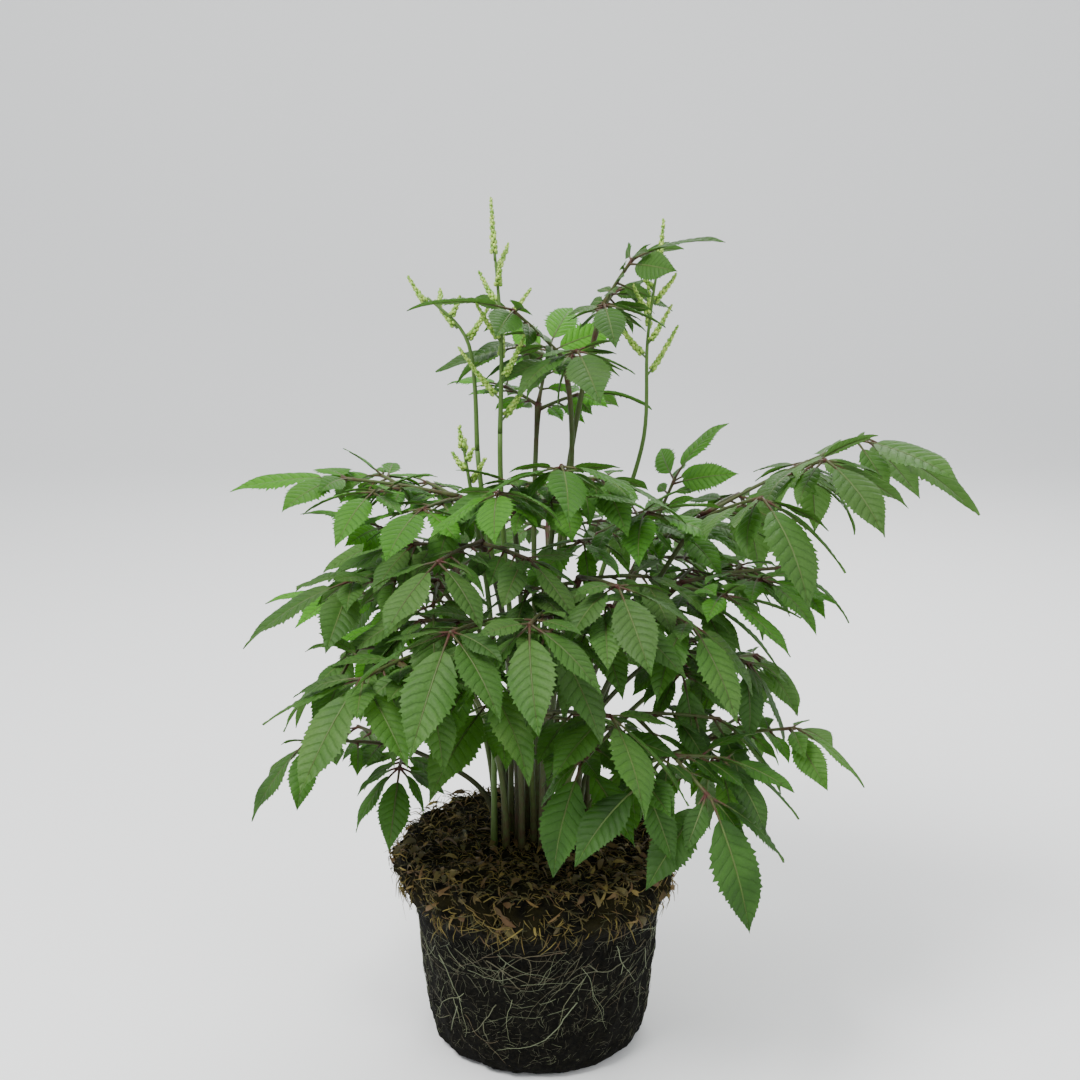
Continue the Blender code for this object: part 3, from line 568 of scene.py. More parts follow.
# %% [markdown]
# A branch is straight at this stage, a little thicker at its end, where its leaflets sit. It is turned up,
# down and sideways in small steps until it passes all that stands already.

# %% Find room for a branch
# A branch: its place among its frond's shells, its route and radii, and the way that it ends
Branch = namedtuple("Branch", "index route radii aim")
BRANCH_RADIUS = 0.0011
NODE_RADIUS = 0.0013
BRANCH_SIDES = 3
FORK_ROOM = 0.004
BRANCH_TRIES, BRANCH_TURN = 90, math.radians(5)


def place_branch(name, start, aim, length):
    """A branch from start, turned little by little until it has room."""
    side = aim.cross(UP).normalized()
    for pitch, yaw in spiral(BRANCH_TRIES):
        way = turned(turned(aim, side, BRANCH_TURN * pitch), UP, BRANCH_TURN * yaw)
        end = start + way * length
        route, radii = [start, end], [BRANCH_RADIUS, NODE_RADIUS]
        guard = tube([start + way * FORK_ROOM, end], [r + CLEARANCE for r in radii], BRANCH_SIDES)
        if not growth.crosses(name, guard):
            index = growth.add(name, tube(route, radii, BRANCH_SIDES))
            growth.branches.setdefault(name, []).append((start, end))
            return Branch(index, route, radii, way)
    return None


print("turns tried for a branch", BRANCH_TRIES)

# %% [markdown]
# A frond of astilbe divides in threes: its stalk forks into a middle branch and a pair of side branches,
# and a large frond has a second pair further out. The pairs leave at the same wide angle, so one rule
# makes them all.

# %% Grow the branches
SIDE_ANGLE = math.radians(64)
SIDE_LENGTH = 0.72
SIDE_LEAF = 0.92
INNER_PAIR, INNER_PAIR_LENGTH, INNER_LEAF = 0.52, 0.62, 0.82
STAGGER = 0.0026
FIRST_PAIR_BACK = 0.6


def frond_lean(frond, aim):
    return square_to(turned(UP, aim, math.radians(frond.roll)), aim)


def grow_branches(frond, hub, aim, arrive):
    """The middle branch and its pairs of side branches, each with the side of the frond it is on."""
    lean = frond_lean(frond, aim)
    length = (Vector(frond.end) - hub).length
    grown = [(place_branch(frond.name, hub, aim, length), 0, 1.0)]
    for pair in range(frond.pairs):
        start = hub + aim * length * (INNER_PAIR * pair)
        reach = length * SIDE_LENGTH * (INNER_PAIR_LENGTH if pair else 1.0)
        for n, hand in enumerate((1, -1)):
            way = turned(aim, lean, hand * SIDE_ANGLE)
            back = (aim if pair else arrive) * STAGGER * (n + (0.0 if pair else FIRST_PAIR_BACK))
            branch = place_branch(frond.name, start - back, way, reach)
            grown.append((branch, hand, INNER_LEAF if pair else SIDE_LEAF))
    return [entry for entry in grown if entry[0]]


branches = [grow_branches(frond, hub, *way) for frond, hub, way in zip(FRONDS, hubs, ways)]
print("branches", sum(len(grown) for grown in branches))

# %% [markdown]
# The side spikes of a flower stem are slim and swell at each cluster of buds. They are turned until they
# have room, as branches are, and curve up a little towards their tips.

# %% Find room for a spike
KNOB_PITCH = 0.0105
BUD_RADIUS = 0.0017
SPIKE_RADIUS = 0.0007
SPIKE_LIFT = 0.22
BARE_SHARE = 0.18
SPIKE_SIDES = 4
SPIKE_TRIES, SPIKE_TURN = 40, math.radians(7)
KNOB_STEPS = ((0.42, 1.0), (0.86, 0.42))
SPIKE_TAPER = 0.45
LAST_KNOB = 0.5


def spike_shell(start, line, length):
    """Points and radii of a spike: a slim stem with a knob of buds at even steps."""
    knobs = max(2, round(length / KNOB_PITCH))
    points, radii = [start], [SPIKE_RADIUS]
    for k in range(knobs):
        for share, radius in KNOB_STEPS:
            t = BARE_SHARE + (1 - BARE_SHARE) * (k + share) / knobs
            points.append(start + line * length * t + UP * length * SPIKE_LIFT * t * t)
            radii.append(BUD_RADIUS * radius * (1 - SPIKE_TAPER * t))
    radii[-1] *= LAST_KNOB
    return points, radii


def place_spike(name, start, way, length):
    side = way.orthogonal().normalized()
    for pitch, yaw in spiral(SPIKE_TRIES):
        line = turned(turned(way, side, SPIKE_TURN * pitch), UP, SPIKE_TURN * yaw)
        points, radii = spike_shell(start, line, length)
        guard = tube(points[1:], [r + CLEARANCE for r in radii[1:]], SPIKE_SIDES)
        if not growth.crosses(name, guard):
            growth.add(name, tube(points, radii, SPIKE_SIDES))
            growth.spikes.setdefault(name, []).append((start, line, length))
            return


print("points of a 30 mm spike", len(spike_shell(Vector(), UP, 0.030)[0]))

# %% [markdown]
# Spikes stand round their stem at the golden angle, as leaves do round most stems, and get shorter towards
# the top. The last one goes straight on from the stem's tip.

# %% Grow the spikes
TOP_SPIKE = 0.8
SHORTEST_SPIKE = 0.38
SPIKE_CROWDING = 0.9
FIRST_SPIKE_TURN = 0.6
SPIKE_OUT, SPIKE_UP = 0.8, 0.75


def grow_spikes(flower, upper):
    low, high = flower.spikes_from, upper[-1].z
    for k in range(flower.spikes):
        t = k / flower.spikes
        height = low + (high - low) * t**SPIKE_CROWDING
        below = max(i for i in range(len(upper) - 1) if upper[i].z <= height + 1e-6 or i == 0)
        a, b = upper[below], upper[below + 1]
        start = a.lerp(b, min(max((height - a.z) / max(b.z - a.z, 1e-6), 0), 1))
        turn = k * GOLDEN_ANGLE + FIRST_SPIKE_TURN
        way = (Vector((math.cos(turn), math.sin(turn), 0)) * SPIKE_OUT + UP * SPIKE_UP).normalized()
        place_spike(flower.name, start, way, flower.longest * (1 - (1 - SHORTEST_SPIKE) * t))
    top = upper[-1]
    onward = (top - upper[-3]).normalized()
    place_spike(flower.name, top - UP * STEM_OVERLAP, onward, flower.longest * TOP_SPIKE)


for flower, upper in zip(FLOWERS, uppers):
    grow_spikes(flower, upper)
print("spikes", sum(len(found) for found in growth.spikes.values()))

# %% [markdown]
# Leaflets. Each sits on a short twig at a branch's end or beside it. A leaflet that meets another is
# turned first, because a real one turns to the light, and only made smaller when no turn helps. None may
# lie on the root ball.

# %% A leaflet in one place
TWIG_SHARE = 0.14
SHORTEST_TWIG = 0.0018
THREE_TEETH = 0.043
SOIL_ROOM, BALL_REACH = 0.008, 0.09


def leaflet_at(start, way, face, size, bend):
    """The leaflet of that size whose twig begins at start."""
    base = start + way * (SHORTEST_TWIG + TWIG_SHARE * size)
    teeth = 3 if size > THREE_TEETH else 2
    return Leaf(base, way, square_to(face, way), size, size * LEAF_WIDTH, bend, teeth)


def lies_on_ball(leaf):
    low = min(leaf_point(leaf, s, u, 0).z for s in (0.5, 1.0) for u in (-1, 1))
    return low < SOIL_HEIGHT + SOIL_ROOM and abs(leaf.base.x) < BALL_REACH


print("a leaflet at the origin lies on the ball:", lies_on_ball(sample))

# %% [markdown]
# A leaflet at the end of a branch is one skin with it, so its shell takes the place of the branch's. Within
# its own frond a leaflet may touch the others only after many turns, as crowded leaflets do.

# %% Find room for a leaflet
TWIG_SUNK, TWIG_RADIUS = 0.0004, 0.0008
SMALLEST_LEAF = 0.016
LEAFLET_SHARES = (1.0, 0.86, 0.72, 0.58)
LEAFLET_TRIES, LEAFLET_TURN = 46, math.radians(6.5)
FREE_TURNS = 26


def has_room(name, own, leaf, picky):
    guard = blade_guard(leaf)
    if growth.crosses(name, guard):
        return False
    return not (picky and own and tree_of([guard]).overlap(tree_of(own)))


def place_leaflet(name, own, start, branch, aim, face, length, bend):
    """A leaflet turned and then shortened until it has room, at the end of a branch or beside it."""
    side = aim.cross(face).normalized()
    for size in [length * share for share in LEAFLET_SHARES if length * share >= SMALLEST_LEAF]:
        for pitch, yaw in spiral(LEAFLET_TRIES):
            way = turned(turned(aim, side, LEAFLET_TURN * pitch), face, LEAFLET_TURN * yaw)
            leaf = leaflet_at(start, way, face, size, bend)
            if lies_on_ball(leaf) or not has_room(name, own, leaf, pitch * pitch + yaw * yaw < FREE_TURNS):
                continue
            if branch:
                shell = leaflet_shell(leaf, branch.route[::-1], branch.radii[::-1])
            else:
                shell = leaflet_shell(leaf, [start - way * TWIG_SUNK], [TWIG_RADIUS])
            if growth.crosses(name, shell):
                continue
            if branch:
                growth.swap(name, branch.index, shell)
            else:
                growth.add(name, shell)
            own.append(blade_shell(leaf, 2)[0])
            growth.leaves.setdefault(name, []).append((leaf, start))
            return


print("turns tried at each size", LEAFLET_TRIES, "sizes", len(LEAFLET_SHARES))

# %% [markdown]
# A branch ends in a group of two or three leaflets, the middle one the largest and the inner one small.
# Real leaflets are never quite alike, so each gets its own chance turn, droop and bend, from a generator
# that starts at the same seed every time.

# %% Leaflets of one branch
LEAFLET_ANGLE = math.radians(62)
TIP_LEAF, BESIDE_LEAF, INWARD_LEAF = 1.0, 0.86, 0.74
LEAF_SPREAD, BEND_SPREAD = (0.92, 1.08), (0.30, 0.75)
TURN_SPREAD, TWIST_SPREAD, DROOP_SPREAD = 0.12, 0.2, 7
BESIDE_DROOP = 0.75
BESIDE_BACK = 0.6


def place_group(name, own, branch, hand, lean, leaf, count, droop, rng):
    """The leaflets of one branch: one at its tip and one or two beside it, a little staggered.

    Hand tells which side of its frond the branch is on, so that its inner leaflet stays small.
    """
    node = branch.route[-1]
    for n in range(count):
        turn = (0, LEAFLET_ANGLE, -LEAFLET_ANGLE)[n]
        if count == 2 and n == 1:
            turn = LEAFLET_ANGLE * (-hand or 1)
        size = leaf * (BESIDE_LEAF if n else TIP_LEAF)
        if n and hand and turn * hand > 0:
            size *= INWARD_LEAF
        size *= rng.uniform(*LEAF_SPREAD)
        way = turned(branch.aim, lean, turn + rng.uniform(-TURN_SPREAD, TURN_SPREAD))
        side = way.cross(lean).normalized()
        drop = droop * (BESIDE_DROOP if n else 1.0) + rng.uniform(-DROOP_SPREAD, DROOP_SPREAD)
        way = turned(way, side, -math.radians(drop))
        face = square_to(turned(lean, way, rng.uniform(-TWIST_SPREAD, TWIST_SPREAD)), way)
        start = node if n == 0 else node - branch.aim * STAGGER * (n - BESIDE_BACK)
        place_leaflet(name, own, start, None if n else branch, way, face, size, rng.uniform(*BEND_SPREAD))


print("angle between the leaflets of a group", round(math.degrees(LEAFLET_ANGLE)), "degrees")

# %% [markdown]
# All the rules are there, so the leaflets of every frond can grow. A side branch holds its leaflets level,
# while the middle branch leans them as its whole frond leans.

# %% Grow the leaflets
SEED = 31
TIP_GROUP = 3

for frond, grown in zip(FRONDS, branches):
    rng = random.Random(frond.name + str(SEED))
    own = []
    for branch, hand, share in grown:
        lean = square_to(UP, branch.aim) if hand else frond_lean(frond, branch.aim)
        count = frond.sides if hand else TIP_GROUP
        place_group(frond.name, own, branch, hand, lean, frond.leaf * share, count, frond.droop, rng)
print("leaflets", sum(len(group) for group in growth.leaves.values()))

# %% [markdown]
# Fine meshes. Each leaflet could be its own object, but thousands of objects are slow and leave hundreds
# of parts to name. Here all the blades of a frond go into one sheet of points, with a place and a tone for
# each point, which its finish reads later.

# %% Collect points into one sheet
class Sheet:
    """Points and faces of one piece, with two things for its finish at each point: a place and a tone."""

    def __init__(self):
        self.points, self.faces, self.places, self.tones = [], [], [], []

    def add(self, points, faces, places, tones):
        first = len(self.points)
        self.points += points
        self.faces += [tuple(i + first for i in face) for face in faces]
        self.places += places
        self.tones += tones


print("points in a new sheet", len(Sheet().points))

# %% [markdown]
# A sheet becomes a mesh, and the mesh an object. The places are kept as UV coordinates and the tones as a
# colour attribute, which both survive in any format that the part is saved in. The piece then rides on the
# plant's body and stands for its solid.

# %% Make a piece of a sheet
def sheet_mesh(name, sheet):
    mesh = bpy.data.meshes.new(name)
    mesh.from_pydata([tuple(p) for p in sheet.points], [], sheet.faces)
    places = mesh.uv_layers.new(name="place")
    corners = [0] * len(mesh.loops)
    mesh.loops.foreach_get("vertex_index", corners)
    places.data.foreach_set("uv", [c for i in corners for c in sheet.places[i]])
    tone = mesh.color_attributes.new("tone", "FLOAT_COLOR", "POINT")
    tone.data.foreach_set("color", [c for t in sheet.tones for c in (t[0], t[1], t[2], 1.0)])
    mesh.polygons.foreach_set("use_smooth", [True] * len(mesh.polygons))
    return mesh


def make_piece(name, sheet, finish, node):
    """The sheet as an object, in place of that node's solid. Says how many triangles it has."""
    mesh = sheet_mesh(name, sheet)
    mesh.materials.append(finish)
    piece = bpy.data.objects.new(name, mesh)
    bpy.context.scene.collection.objects.link(piece)
    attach(piece, "root")
    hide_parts(node)
    return sum(len(face.vertices) - 2 for face in mesh.polygons)


print("meshes so far", len(bpy.data.meshes))

# %% [markdown]
# A leaflet of astilbe has a sunken rib, about ten pairs of veins that run to the large teeth, and quilted
# flesh between them. A bump map would lose the toothed edge, so teeth and quilting are in the mesh. Its
# rows of points sweep forwards as the veins do, and four rows make one vein with its teeth.

# %% Rows, columns and teeth of a fine leaflet
COLUMNS = (-1.0, -0.86, -0.62, -0.38, -0.16, 0.0, 0.16, 0.38, 0.62, 0.86, 1.0)
ROWS_PER_VEIN = 4
MOST_VEINS = 10
FIRST_ROW, ROW_SPAN, LAST_PLACE = 0.012, 0.983, 0.998
VEIN_SWEEP, SWEEP_FORWARD = 0.15, 0.6
TEETH = (0.115, -0.075, 0.035, -0.040)
TOOTH_FORWARD, TOOTH_SHARPNESS = 0.020, 6
TOOTH_SPREAD = (0.65, 1.3)
SLIM, POINTED = 0.93, 0.30
LONG_LEAF, SHORT_LEAF = 0.036, 0.026
FADE_IN, FADE_OUT = 0.16, 0.05


def vein_count(length):
    return MOST_VEINS if length > LONG_LEAF else 8 if length > SHORT_LEAF else 6


def row_place(t, a, step):
    """How far along the blade a point of row t lies, at a of the way out to the margin."""
    forward = TOOTH_FORWARD * a**TOOTH_SHARPNESS * (step == 0)
    return t + VEIN_SWEEP * a * math.sin(math.pi * t**SWEEP_FORWARD) + forward


def row_fade(t):
    """Teeth and quilting fade out towards the base and the tip."""
    return min(t / FADE_IN, 1.0) * min((1.0 - t) / FADE_OUT, 1.0)


print("veins of a 20, a 30 and a 50 mm leaflet", [vein_count(length) for length in (0.02, 0.03, 0.05)])

# %% [markdown]
# Between its veins the flesh bulges up, and the whole blade ripples and twists a little. Three sines and a
# groove are enough, because the eye only reads them as the way the light changes over the leaf.

# %% Relief of a fine leaflet
QUILT, QUILT_HEIGHT = (-1.0, 0.3, 1.0, 0.1), 0.014
RIB_GROOVE = 0.020
RIPPLES, OTHER_SIDE = 9.0, 1.4
RIPPLE_SPREAD, TWIST_LIMIT = (0.012, 0.034), 0.13


def relief(width, t, u, step, fade, wave, tilt, twist):
    """How far a point is raised: quilting, ripple and the groove of the rib."""
    a = abs(u)
    quilt = QUILT[step] * QUILT_HEIGHT * width * 4 * a * (1 - a) * fade
    ripple = tilt * width * a * a * math.sin(RIPPLES * t + wave + (OTHER_SIDE if u > 0 else 0.0))
    ripple += twist * width * u * t * (1 - t) * 2
    return quilt + ripple + (-RIB_GROOVE * width if u == 0 else 0.0)


print("groove of a 24 mm wide blade", round(-1000 * relief(0.024, 0.5, 0.0, 0, 1.0, 0, 0, 0), 2), "mm deep")

# %% [markdown]
# The blade itself is a grid of those rows and columns, laid over the same arched form as its shell. It is
# slimmer than the shell towards base and tip, because the real leaflets have long points.

# %% A fine leaflet
def fine_blade(sheet, leaf, tone, rng):
    rows = vein_count(leaf.length) * ROWS_PER_VEIN
    wave, tilt = rng.uniform(0, 2 * math.pi), rng.uniform(*RIPPLE_SPREAD)
    twist = rng.uniform(-TWIST_LIMIT, TWIST_LIMIT)
    points, places = [], []
    for k in range(rows + 1):
        t = FIRST_ROW + ROW_SPAN * k / rows
        step, fade = k % ROWS_PER_VEIN, row_fade(t)
        left, right = rng.uniform(*TOOTH_SPREAD), rng.uniform(*TOOTH_SPREAD)
        for u in COLUMNS:
            s = row_place(t, abs(u), step)
            bite = right if u > 0 else left
            tooth = TEETH[step] * (1 + tone[1]) * fade * abs(u)**TOOTH_SHARPNESS * bite
            slim = SLIM * (1 - POINTED * (2 * s - 1) ** 2)
            raised = relief(leaf.width, t, u, step, fade, wave, tilt, twist)
            points.append(leaf_point(leaf, min(s, LAST_PLACE), u * slim * (1 + tooth), raised))
            places.append((0.5 + u / 2, k / ROWS_PER_VEIN / MOST_VEINS))
    wide = len(COLUMNS)
    corners = [k * wide + c for k in range(rows) for c in range(wide - 1)]
    faces = [(i, i + 1, i + wide + 1, i + wide) for i in corners]
    sheet.add(points, faces, places, [tone] * len(points))


trial = Sheet()
fine_blade(trial, sample, (0.5, 0.0, 0.0), random.Random(SEED))
print("faces of a fine leaflet", len(trial.faces))

# %% [markdown]
# Stalks, branches and twigs are round and slender. They are tubes along the same curves as the solids,
# with more rings and sides. Each ring has a tone: how red it is flushed, and how light it is.

# %% A fine tube
def fine_tube(sheet, points, radii, sides, tones):
    shell = tube(points, radii, sides)
    rings = len(points)
    places = [(n / sides, k / (rings - 1)) for k in range(rings) for n in range(sides)]
    sheet.add(shell.points, shell.faces, places, [tones[k] for k in range(rings) for n in range(sides)])


def rise_to(value, start, span):
    """0 before start, then rising evenly to 1 after the span."""
    return max(0.0, (value - start) / span)


def fall_over(value, span):
    """1 at nothing, falling evenly to 0 after the span."""
    return max(0.0, 1 - value / span)


print("halfway up", round(rise_to(0.9, 0.8, 0.2), 2), "halfway down", round(fall_over(0.1, 0.2), 2))

# %% [markdown]
# A stalk is thickest and reddest at its foot and where it forks; the red at its foot is partly its own
# flush and partly painted shade under the fronds. A flower stem doesn't fork, so it stays green and even up
# to its spikes, but for the same darker foot.

# %% A fine stalk
FINE_STALK_STEPS, FINE_STALK_SIDES = 22, 8
STALK_THICK, STALK_TAPER = 1.05, 0.22
FORK_SWELL, FOOT_SWELL = 0.0008, 0.0006
SWOLLEN_FROM, SWOLLEN_SPAN, SWOLLEN_FOOT = 0.93, 0.07, 0.10
RED_FROM, RED_SPAN, FOOT_RED_AND_SHADE_SPAN = 0.86, 0.14, 0.25
LEAST_RED, FORK_RED, FOOT_RED_AND_SHADE = 0.25, 0.75, 0.35


def fine_stalk(sheet, spot, hub, arrive, shift, light, forked=1.0):
    """The stalk from the soil to its hub, where it is swollen and red if it forks there."""
    route = stalk_route(spot, hub, arrive, shift, FINE_STALK_STEPS)
    radii, tones = [], []
    for k in range(len(route)):
        t = k / (len(route) - 1)
        swell = FORK_SWELL * rise_to(t, SWOLLEN_FROM, SWOLLEN_SPAN) * forked
        foot = FOOT_SWELL * fall_over(t, SWOLLEN_FOOT)
        radii.append(STALK_RADIUS * (STALK_THICK - STALK_TAPER * t) + swell + foot)
        red = LEAST_RED * forked + FORK_RED * rise_to(t, RED_FROM, RED_SPAN) * forked
        # Red at the foot: partly the stalk's own flush, partly painted shade under the fronds
        tones.append((red + FOOT_RED_AND_SHADE * fall_over(t, FOOT_RED_AND_SHADE_SPAN), light, 0.0))
    fine_tube(sheet, route, radii, FINE_STALK_SIDES, tones)


trial = Sheet()
fine_stalk(trial, *growth.stalks["frond_front"], 0.5)
print("points of a fine stalk", len(trial.points))

# %% [markdown]
# A branch bows a little, and swells at both of its ends, where it leaves the stalk and where its leaflets
# sit. Its shell is straight, and the bow is kept small enough to stay in the room that the shell found.

# %% A fine branch
FINE_BRANCH_STEPS, FINE_BRANCH_SIDES = 9, 7
BRANCH_BOW, BOW_SPREAD = 0.022, 0.5
BRANCH_THICK, BRANCH_TAPER, BRANCH_SWELL = 1.05, 0.25, 0.0004
BRANCH_FOOT, NODE_FROM, NODE_SPAN = 0.2, 0.82, 0.18
BRANCH_RED, END_RED = 0.35, 0.6


def fine_branch(sheet, start, end, light, rng):
    way = end - start
    aside = Vector((rng.uniform(-1, 1), rng.uniform(-1, 1), 0)) * BOW_SPREAD
    bow = square_to(UP + aside, way.normalized())
    route, radii, tones = [], [], []
    for k in range(FINE_BRANCH_STEPS + 1):
        t = k / FINE_BRANCH_STEPS
        route.append(start + way * t + bow * way.length * BRANCH_BOW * math.sin(math.pi * t))
        ends = fall_over(t, BRANCH_FOOT) + rise_to(t, NODE_FROM, NODE_SPAN)
        radii.append(BRANCH_RADIUS * (BRANCH_THICK - BRANCH_TAPER * t) + BRANCH_SWELL * ends)
        tones.append((BRANCH_RED + END_RED * min(ends, 1.0), light, 0.0))
    fine_tube(sheet, route, radii, FINE_BRANCH_SIDES, tones)


trial = Sheet()
fine_branch(trial, Vector(), UP * 0.05, 0.5, random.Random(SEED))
print("points of a fine branch", len(trial.points))

# %% [markdown]
# Under a leaflet its twig goes on as the rib, which stands out below and thins towards the tip. From above
# the rib is a groove, so the two skins never touch.

# %% A fine twig and its rib
TWIG_SIDES = 6
TWIG_STEPS = 3
TWIG_THICK, TWIG_TAPER = 0.00078, 0.00016
RIB_PLACES = (0.12, 0.28, 0.46, 0.64, 0.82)
RIB_SUNK, RIB_THICK, RIB_THIN = 0.00035, 0.00058, 0.00012
TWIG_RED, TWIG_FADE = 0.95, 0.35
RIB_RED, RIB_LIGHTER = 0.25, 0.4


def fine_twig(sheet, leaf, start, light):
    """The twig of a leaflet, and the rib that it becomes under the blade."""
    route, radii, tones = [], [], []
    for k in range(TWIG_STEPS + 1):
        t = k / TWIG_STEPS
        route.append(start.lerp(leaf.base, t))
        radii.append(TWIG_THICK - TWIG_TAPER * t)
        tones.append((TWIG_RED - TWIG_FADE * t, light, 0.0))
    for s in RIB_PLACES:
        route.append(leaf_point(leaf, s, 0.0, -RIB_SUNK))
        radii.append(RIB_THICK * (1 - s) + RIB_THIN)
        tones.append((RIB_RED, light + RIB_LIGHTER, 0.0))
    fine_tube(sheet, route, radii, TWIG_SIDES, tones)


trial = Sheet()
fine_twig(trial, sample, Vector(), 0.5)
print("points of a fine twig", len(trial.points))

# %% [markdown]
# Finishes are mixed from nodes, with no pictures. Writing each node and link out would fill pages, so a
# few helpers start a finish and mix two colours, by a number or by what another node gives.

# %% Start a finish and mix colours
def new_finish(name):
    finish = bpy.data.materials.new(name)
    finish.use_nodes = True
    nodes = finish.node_tree.nodes
    return finish, nodes, finish.node_tree.links, nodes["Principled BSDF"]


def put(links, value, socket):
    """Link a socket to another, or set it to a number or a colour."""
    if isinstance(value, bpy.types.NodeSocket):
        links.new(value, socket)
    else:
        socket.default_value = value if isinstance(value, float) else (*value, 1.0)


def mixed(nodes, links, factor, first, second):
    """A colour between two, by a socket or a number. Each may be a socket or a colour."""
    node = nodes.new("ShaderNodeMix")
    node.data_type = "RGBA"
    put(links, factor, node.inputs["Factor"])
    put(links, first, node.inputs["A"])
    put(links, second, node.inputs["B"])
    return node.outputs["Result"]


trial_finish, nodes, links, shader = new_finish("trial")
mixed(nodes, links, 0.5, (0.0, 0.0, 0.0), (1.0, 1.0, 1.0))
print("nodes of a trial finish", len(nodes))

# %% [markdown]
# The same for numbers: sums, products and soft steps. A soft step turns plain noise into patches, because
# it pushes what is low down to nothing and what is high up to one.

# %% Reckon with numbers
def reckoned(nodes, links, operation, first, second=0.0, clamp=False):
    node = nodes.new("ShaderNodeMath")
    node.operation = operation
    node.use_clamp = clamp
    put(links, first, node.inputs[0])
    put(links, second, node.inputs[1])
    return node.outputs[0]


def between(nodes, links, value, low, high):
    """0 below low and 1 above high, smooth between them."""
    node = nodes.new("ShaderNodeMapRange")
    node.interpolation_type = "SMOOTHSTEP"
    node.inputs["From Min"].default_value = low
    node.inputs["From Max"].default_value = high
    links.new(value, node.inputs["Value"])
    return node.outputs["Result"]


between(nodes, links, reckoned(nodes, links, "ADD", 0.2, 0.3), 0.0, 1.0)
print("nodes of the trial finish with a sum and a soft step", len(nodes))

# %% [markdown]
# Noise gives the uneven colour of grown things. It is fixed to the plant's own place, so that it stays put
# from every side. The tones that the sheets carry are read by name.

# %% Speckle and tones
def speckle(nodes, links, scale, detail=3.0, roughness=0.5):
    """Noise fixed to the plant's own place, so that it stays put from every side."""
    place = nodes.new("ShaderNodeTexCoord")
    node = nodes.new("ShaderNodeTexNoise")
    node.inputs["Scale"].default_value = scale
    node.inputs["Detail"].default_value = detail
    node.inputs["Roughness"].default_value = roughness
    links.new(place.outputs["Object"], node.inputs["Vector"])
    return node.outputs["Fac"]


def tone_parts(nodes, links):
    tone = nodes.new("ShaderNodeVertexColor")
    tone.layer_name = "tone"
    parts = nodes.new("ShaderNodeSeparateColor")
    links.new(tone.outputs["Color"], parts.inputs["Color"])
    return parts.outputs


def bumped(nodes, links, shader, height, strength, distance):
    """Let a height tilt the light on the surface, as fine grain does."""
    bump = nodes.new("ShaderNodeBump")
    bump.inputs["Strength"].default_value = strength
    bump.inputs["Distance"].default_value = distance
    links.new(height, bump.inputs["Height"])
    links.new(bump.outputs["Normal"], shader.inputs["Normal"])


bumped(nodes, links, shader, speckle(nodes, links, 100.0), 0.5, 0.001)
print("parts of a tone", [part.name for part in tone_parts(nodes, links)])
bpy.data.materials.remove(trial_finish)

# %% [markdown]
# The flesh of a leaf could be one green, but a real leaf is darker in patches and paler in others, a young
# one is bright yellow green, and fine grain lies over it all. The first tone says how light a leaflet is
# and the second how young.

# %% Flesh of the leaf
LEAF_DARK = (0.010, 0.032, 0.004)
LEAF_MIDDLE = (0.036, 0.092, 0.015)
LEAF_LIGHT = (0.088, 0.170, 0.038)
LEAF_YOUNG = (0.070, 0.290, 0.006)
PATCH_SCALE, PATCH_EDGE = 38.0, (0.30, 0.72)
GRAIN_SCALE, GRAIN_EDGE, GRAIN_DEPTH = 900.0, (0.35, 0.7), 0.22


def leaf_flesh(nodes, links):
    tones = tone_parts(nodes, links)
    body = mixed(nodes, links, tones["Red"], LEAF_DARK, LEAF_LIGHT)
    patch = between(nodes, links, speckle(nodes, links, PATCH_SCALE), *PATCH_EDGE)
    body = mixed(nodes, links, patch, body, LEAF_MIDDLE)
    body = mixed(nodes, links, tones["Green"], body, LEAF_YOUNG)
    grain = between(nodes, links, speckle(nodes, links, GRAIN_SCALE, 2.0), *GRAIN_EDGE)
    return mixed(nodes, links, reckoned(nodes, links, "MULTIPLY", grain, GRAIN_DEPTH), body, LEAF_DARK)


print("greens of the leaf", [LEAF_DARK, LEAF_MIDDLE, LEAF_LIGHT, LEAF_YOUNG])

# %% [markdown]
# The rib and the veins are lines in the blade's own places: the rib is its middle, and the veins are even
# steps along it, because the rows of the mesh follow them. A little noise keeps them from looking ruled,
# and they fade before the margin.

# %% Rib and veins
RIB_EDGE, VEIN_EDGE, VEIN_END = (0.006, 0.026), (0.015, 0.13), (0.34, 0.49)
STRAY_SCALE, VEIN_STRAY = 190.0, 0.42


def leaf_lines(nodes, links):
    """How much of the rib, and how much of a vein, there is at each point of the blade."""
    place = nodes.new("ShaderNodeUVMap")
    place.uv_map = "place"
    axes = nodes.new("ShaderNodeSeparateXYZ")
    links.new(place.outputs["UV"], axes.inputs["Vector"])
    across = reckoned(nodes, links, "ABSOLUTE", reckoned(nodes, links, "SUBTRACT", axes.outputs["X"], 0.5))
    rib = reckoned(nodes, links, "SUBTRACT", 1.0, between(nodes, links, across, *RIB_EDGE))
    along = reckoned(nodes, links, "MULTIPLY", axes.outputs["Y"], float(MOST_VEINS))
    stray = reckoned(nodes, links, "SUBTRACT", speckle(nodes, links, STRAY_SCALE, 2.0), 0.5)
    along = reckoned(nodes, links, "ADD", along, reckoned(nodes, links, "MULTIPLY", stray, VEIN_STRAY))
    saw = reckoned(nodes, links, "PINGPONG", along, 0.5)
    vein = reckoned(nodes, links, "SUBTRACT", 1.0, between(nodes, links, saw, *VEIN_EDGE))
    inner = reckoned(nodes, links, "SUBTRACT", 1.0, between(nodes, links, across, *VEIN_END))
    return rib, reckoned(nodes, links, "MULTIPLY", vein, inner)


print("the rib is", round(2 * RIB_EDGE[1], 3), "of the blade's width at most")
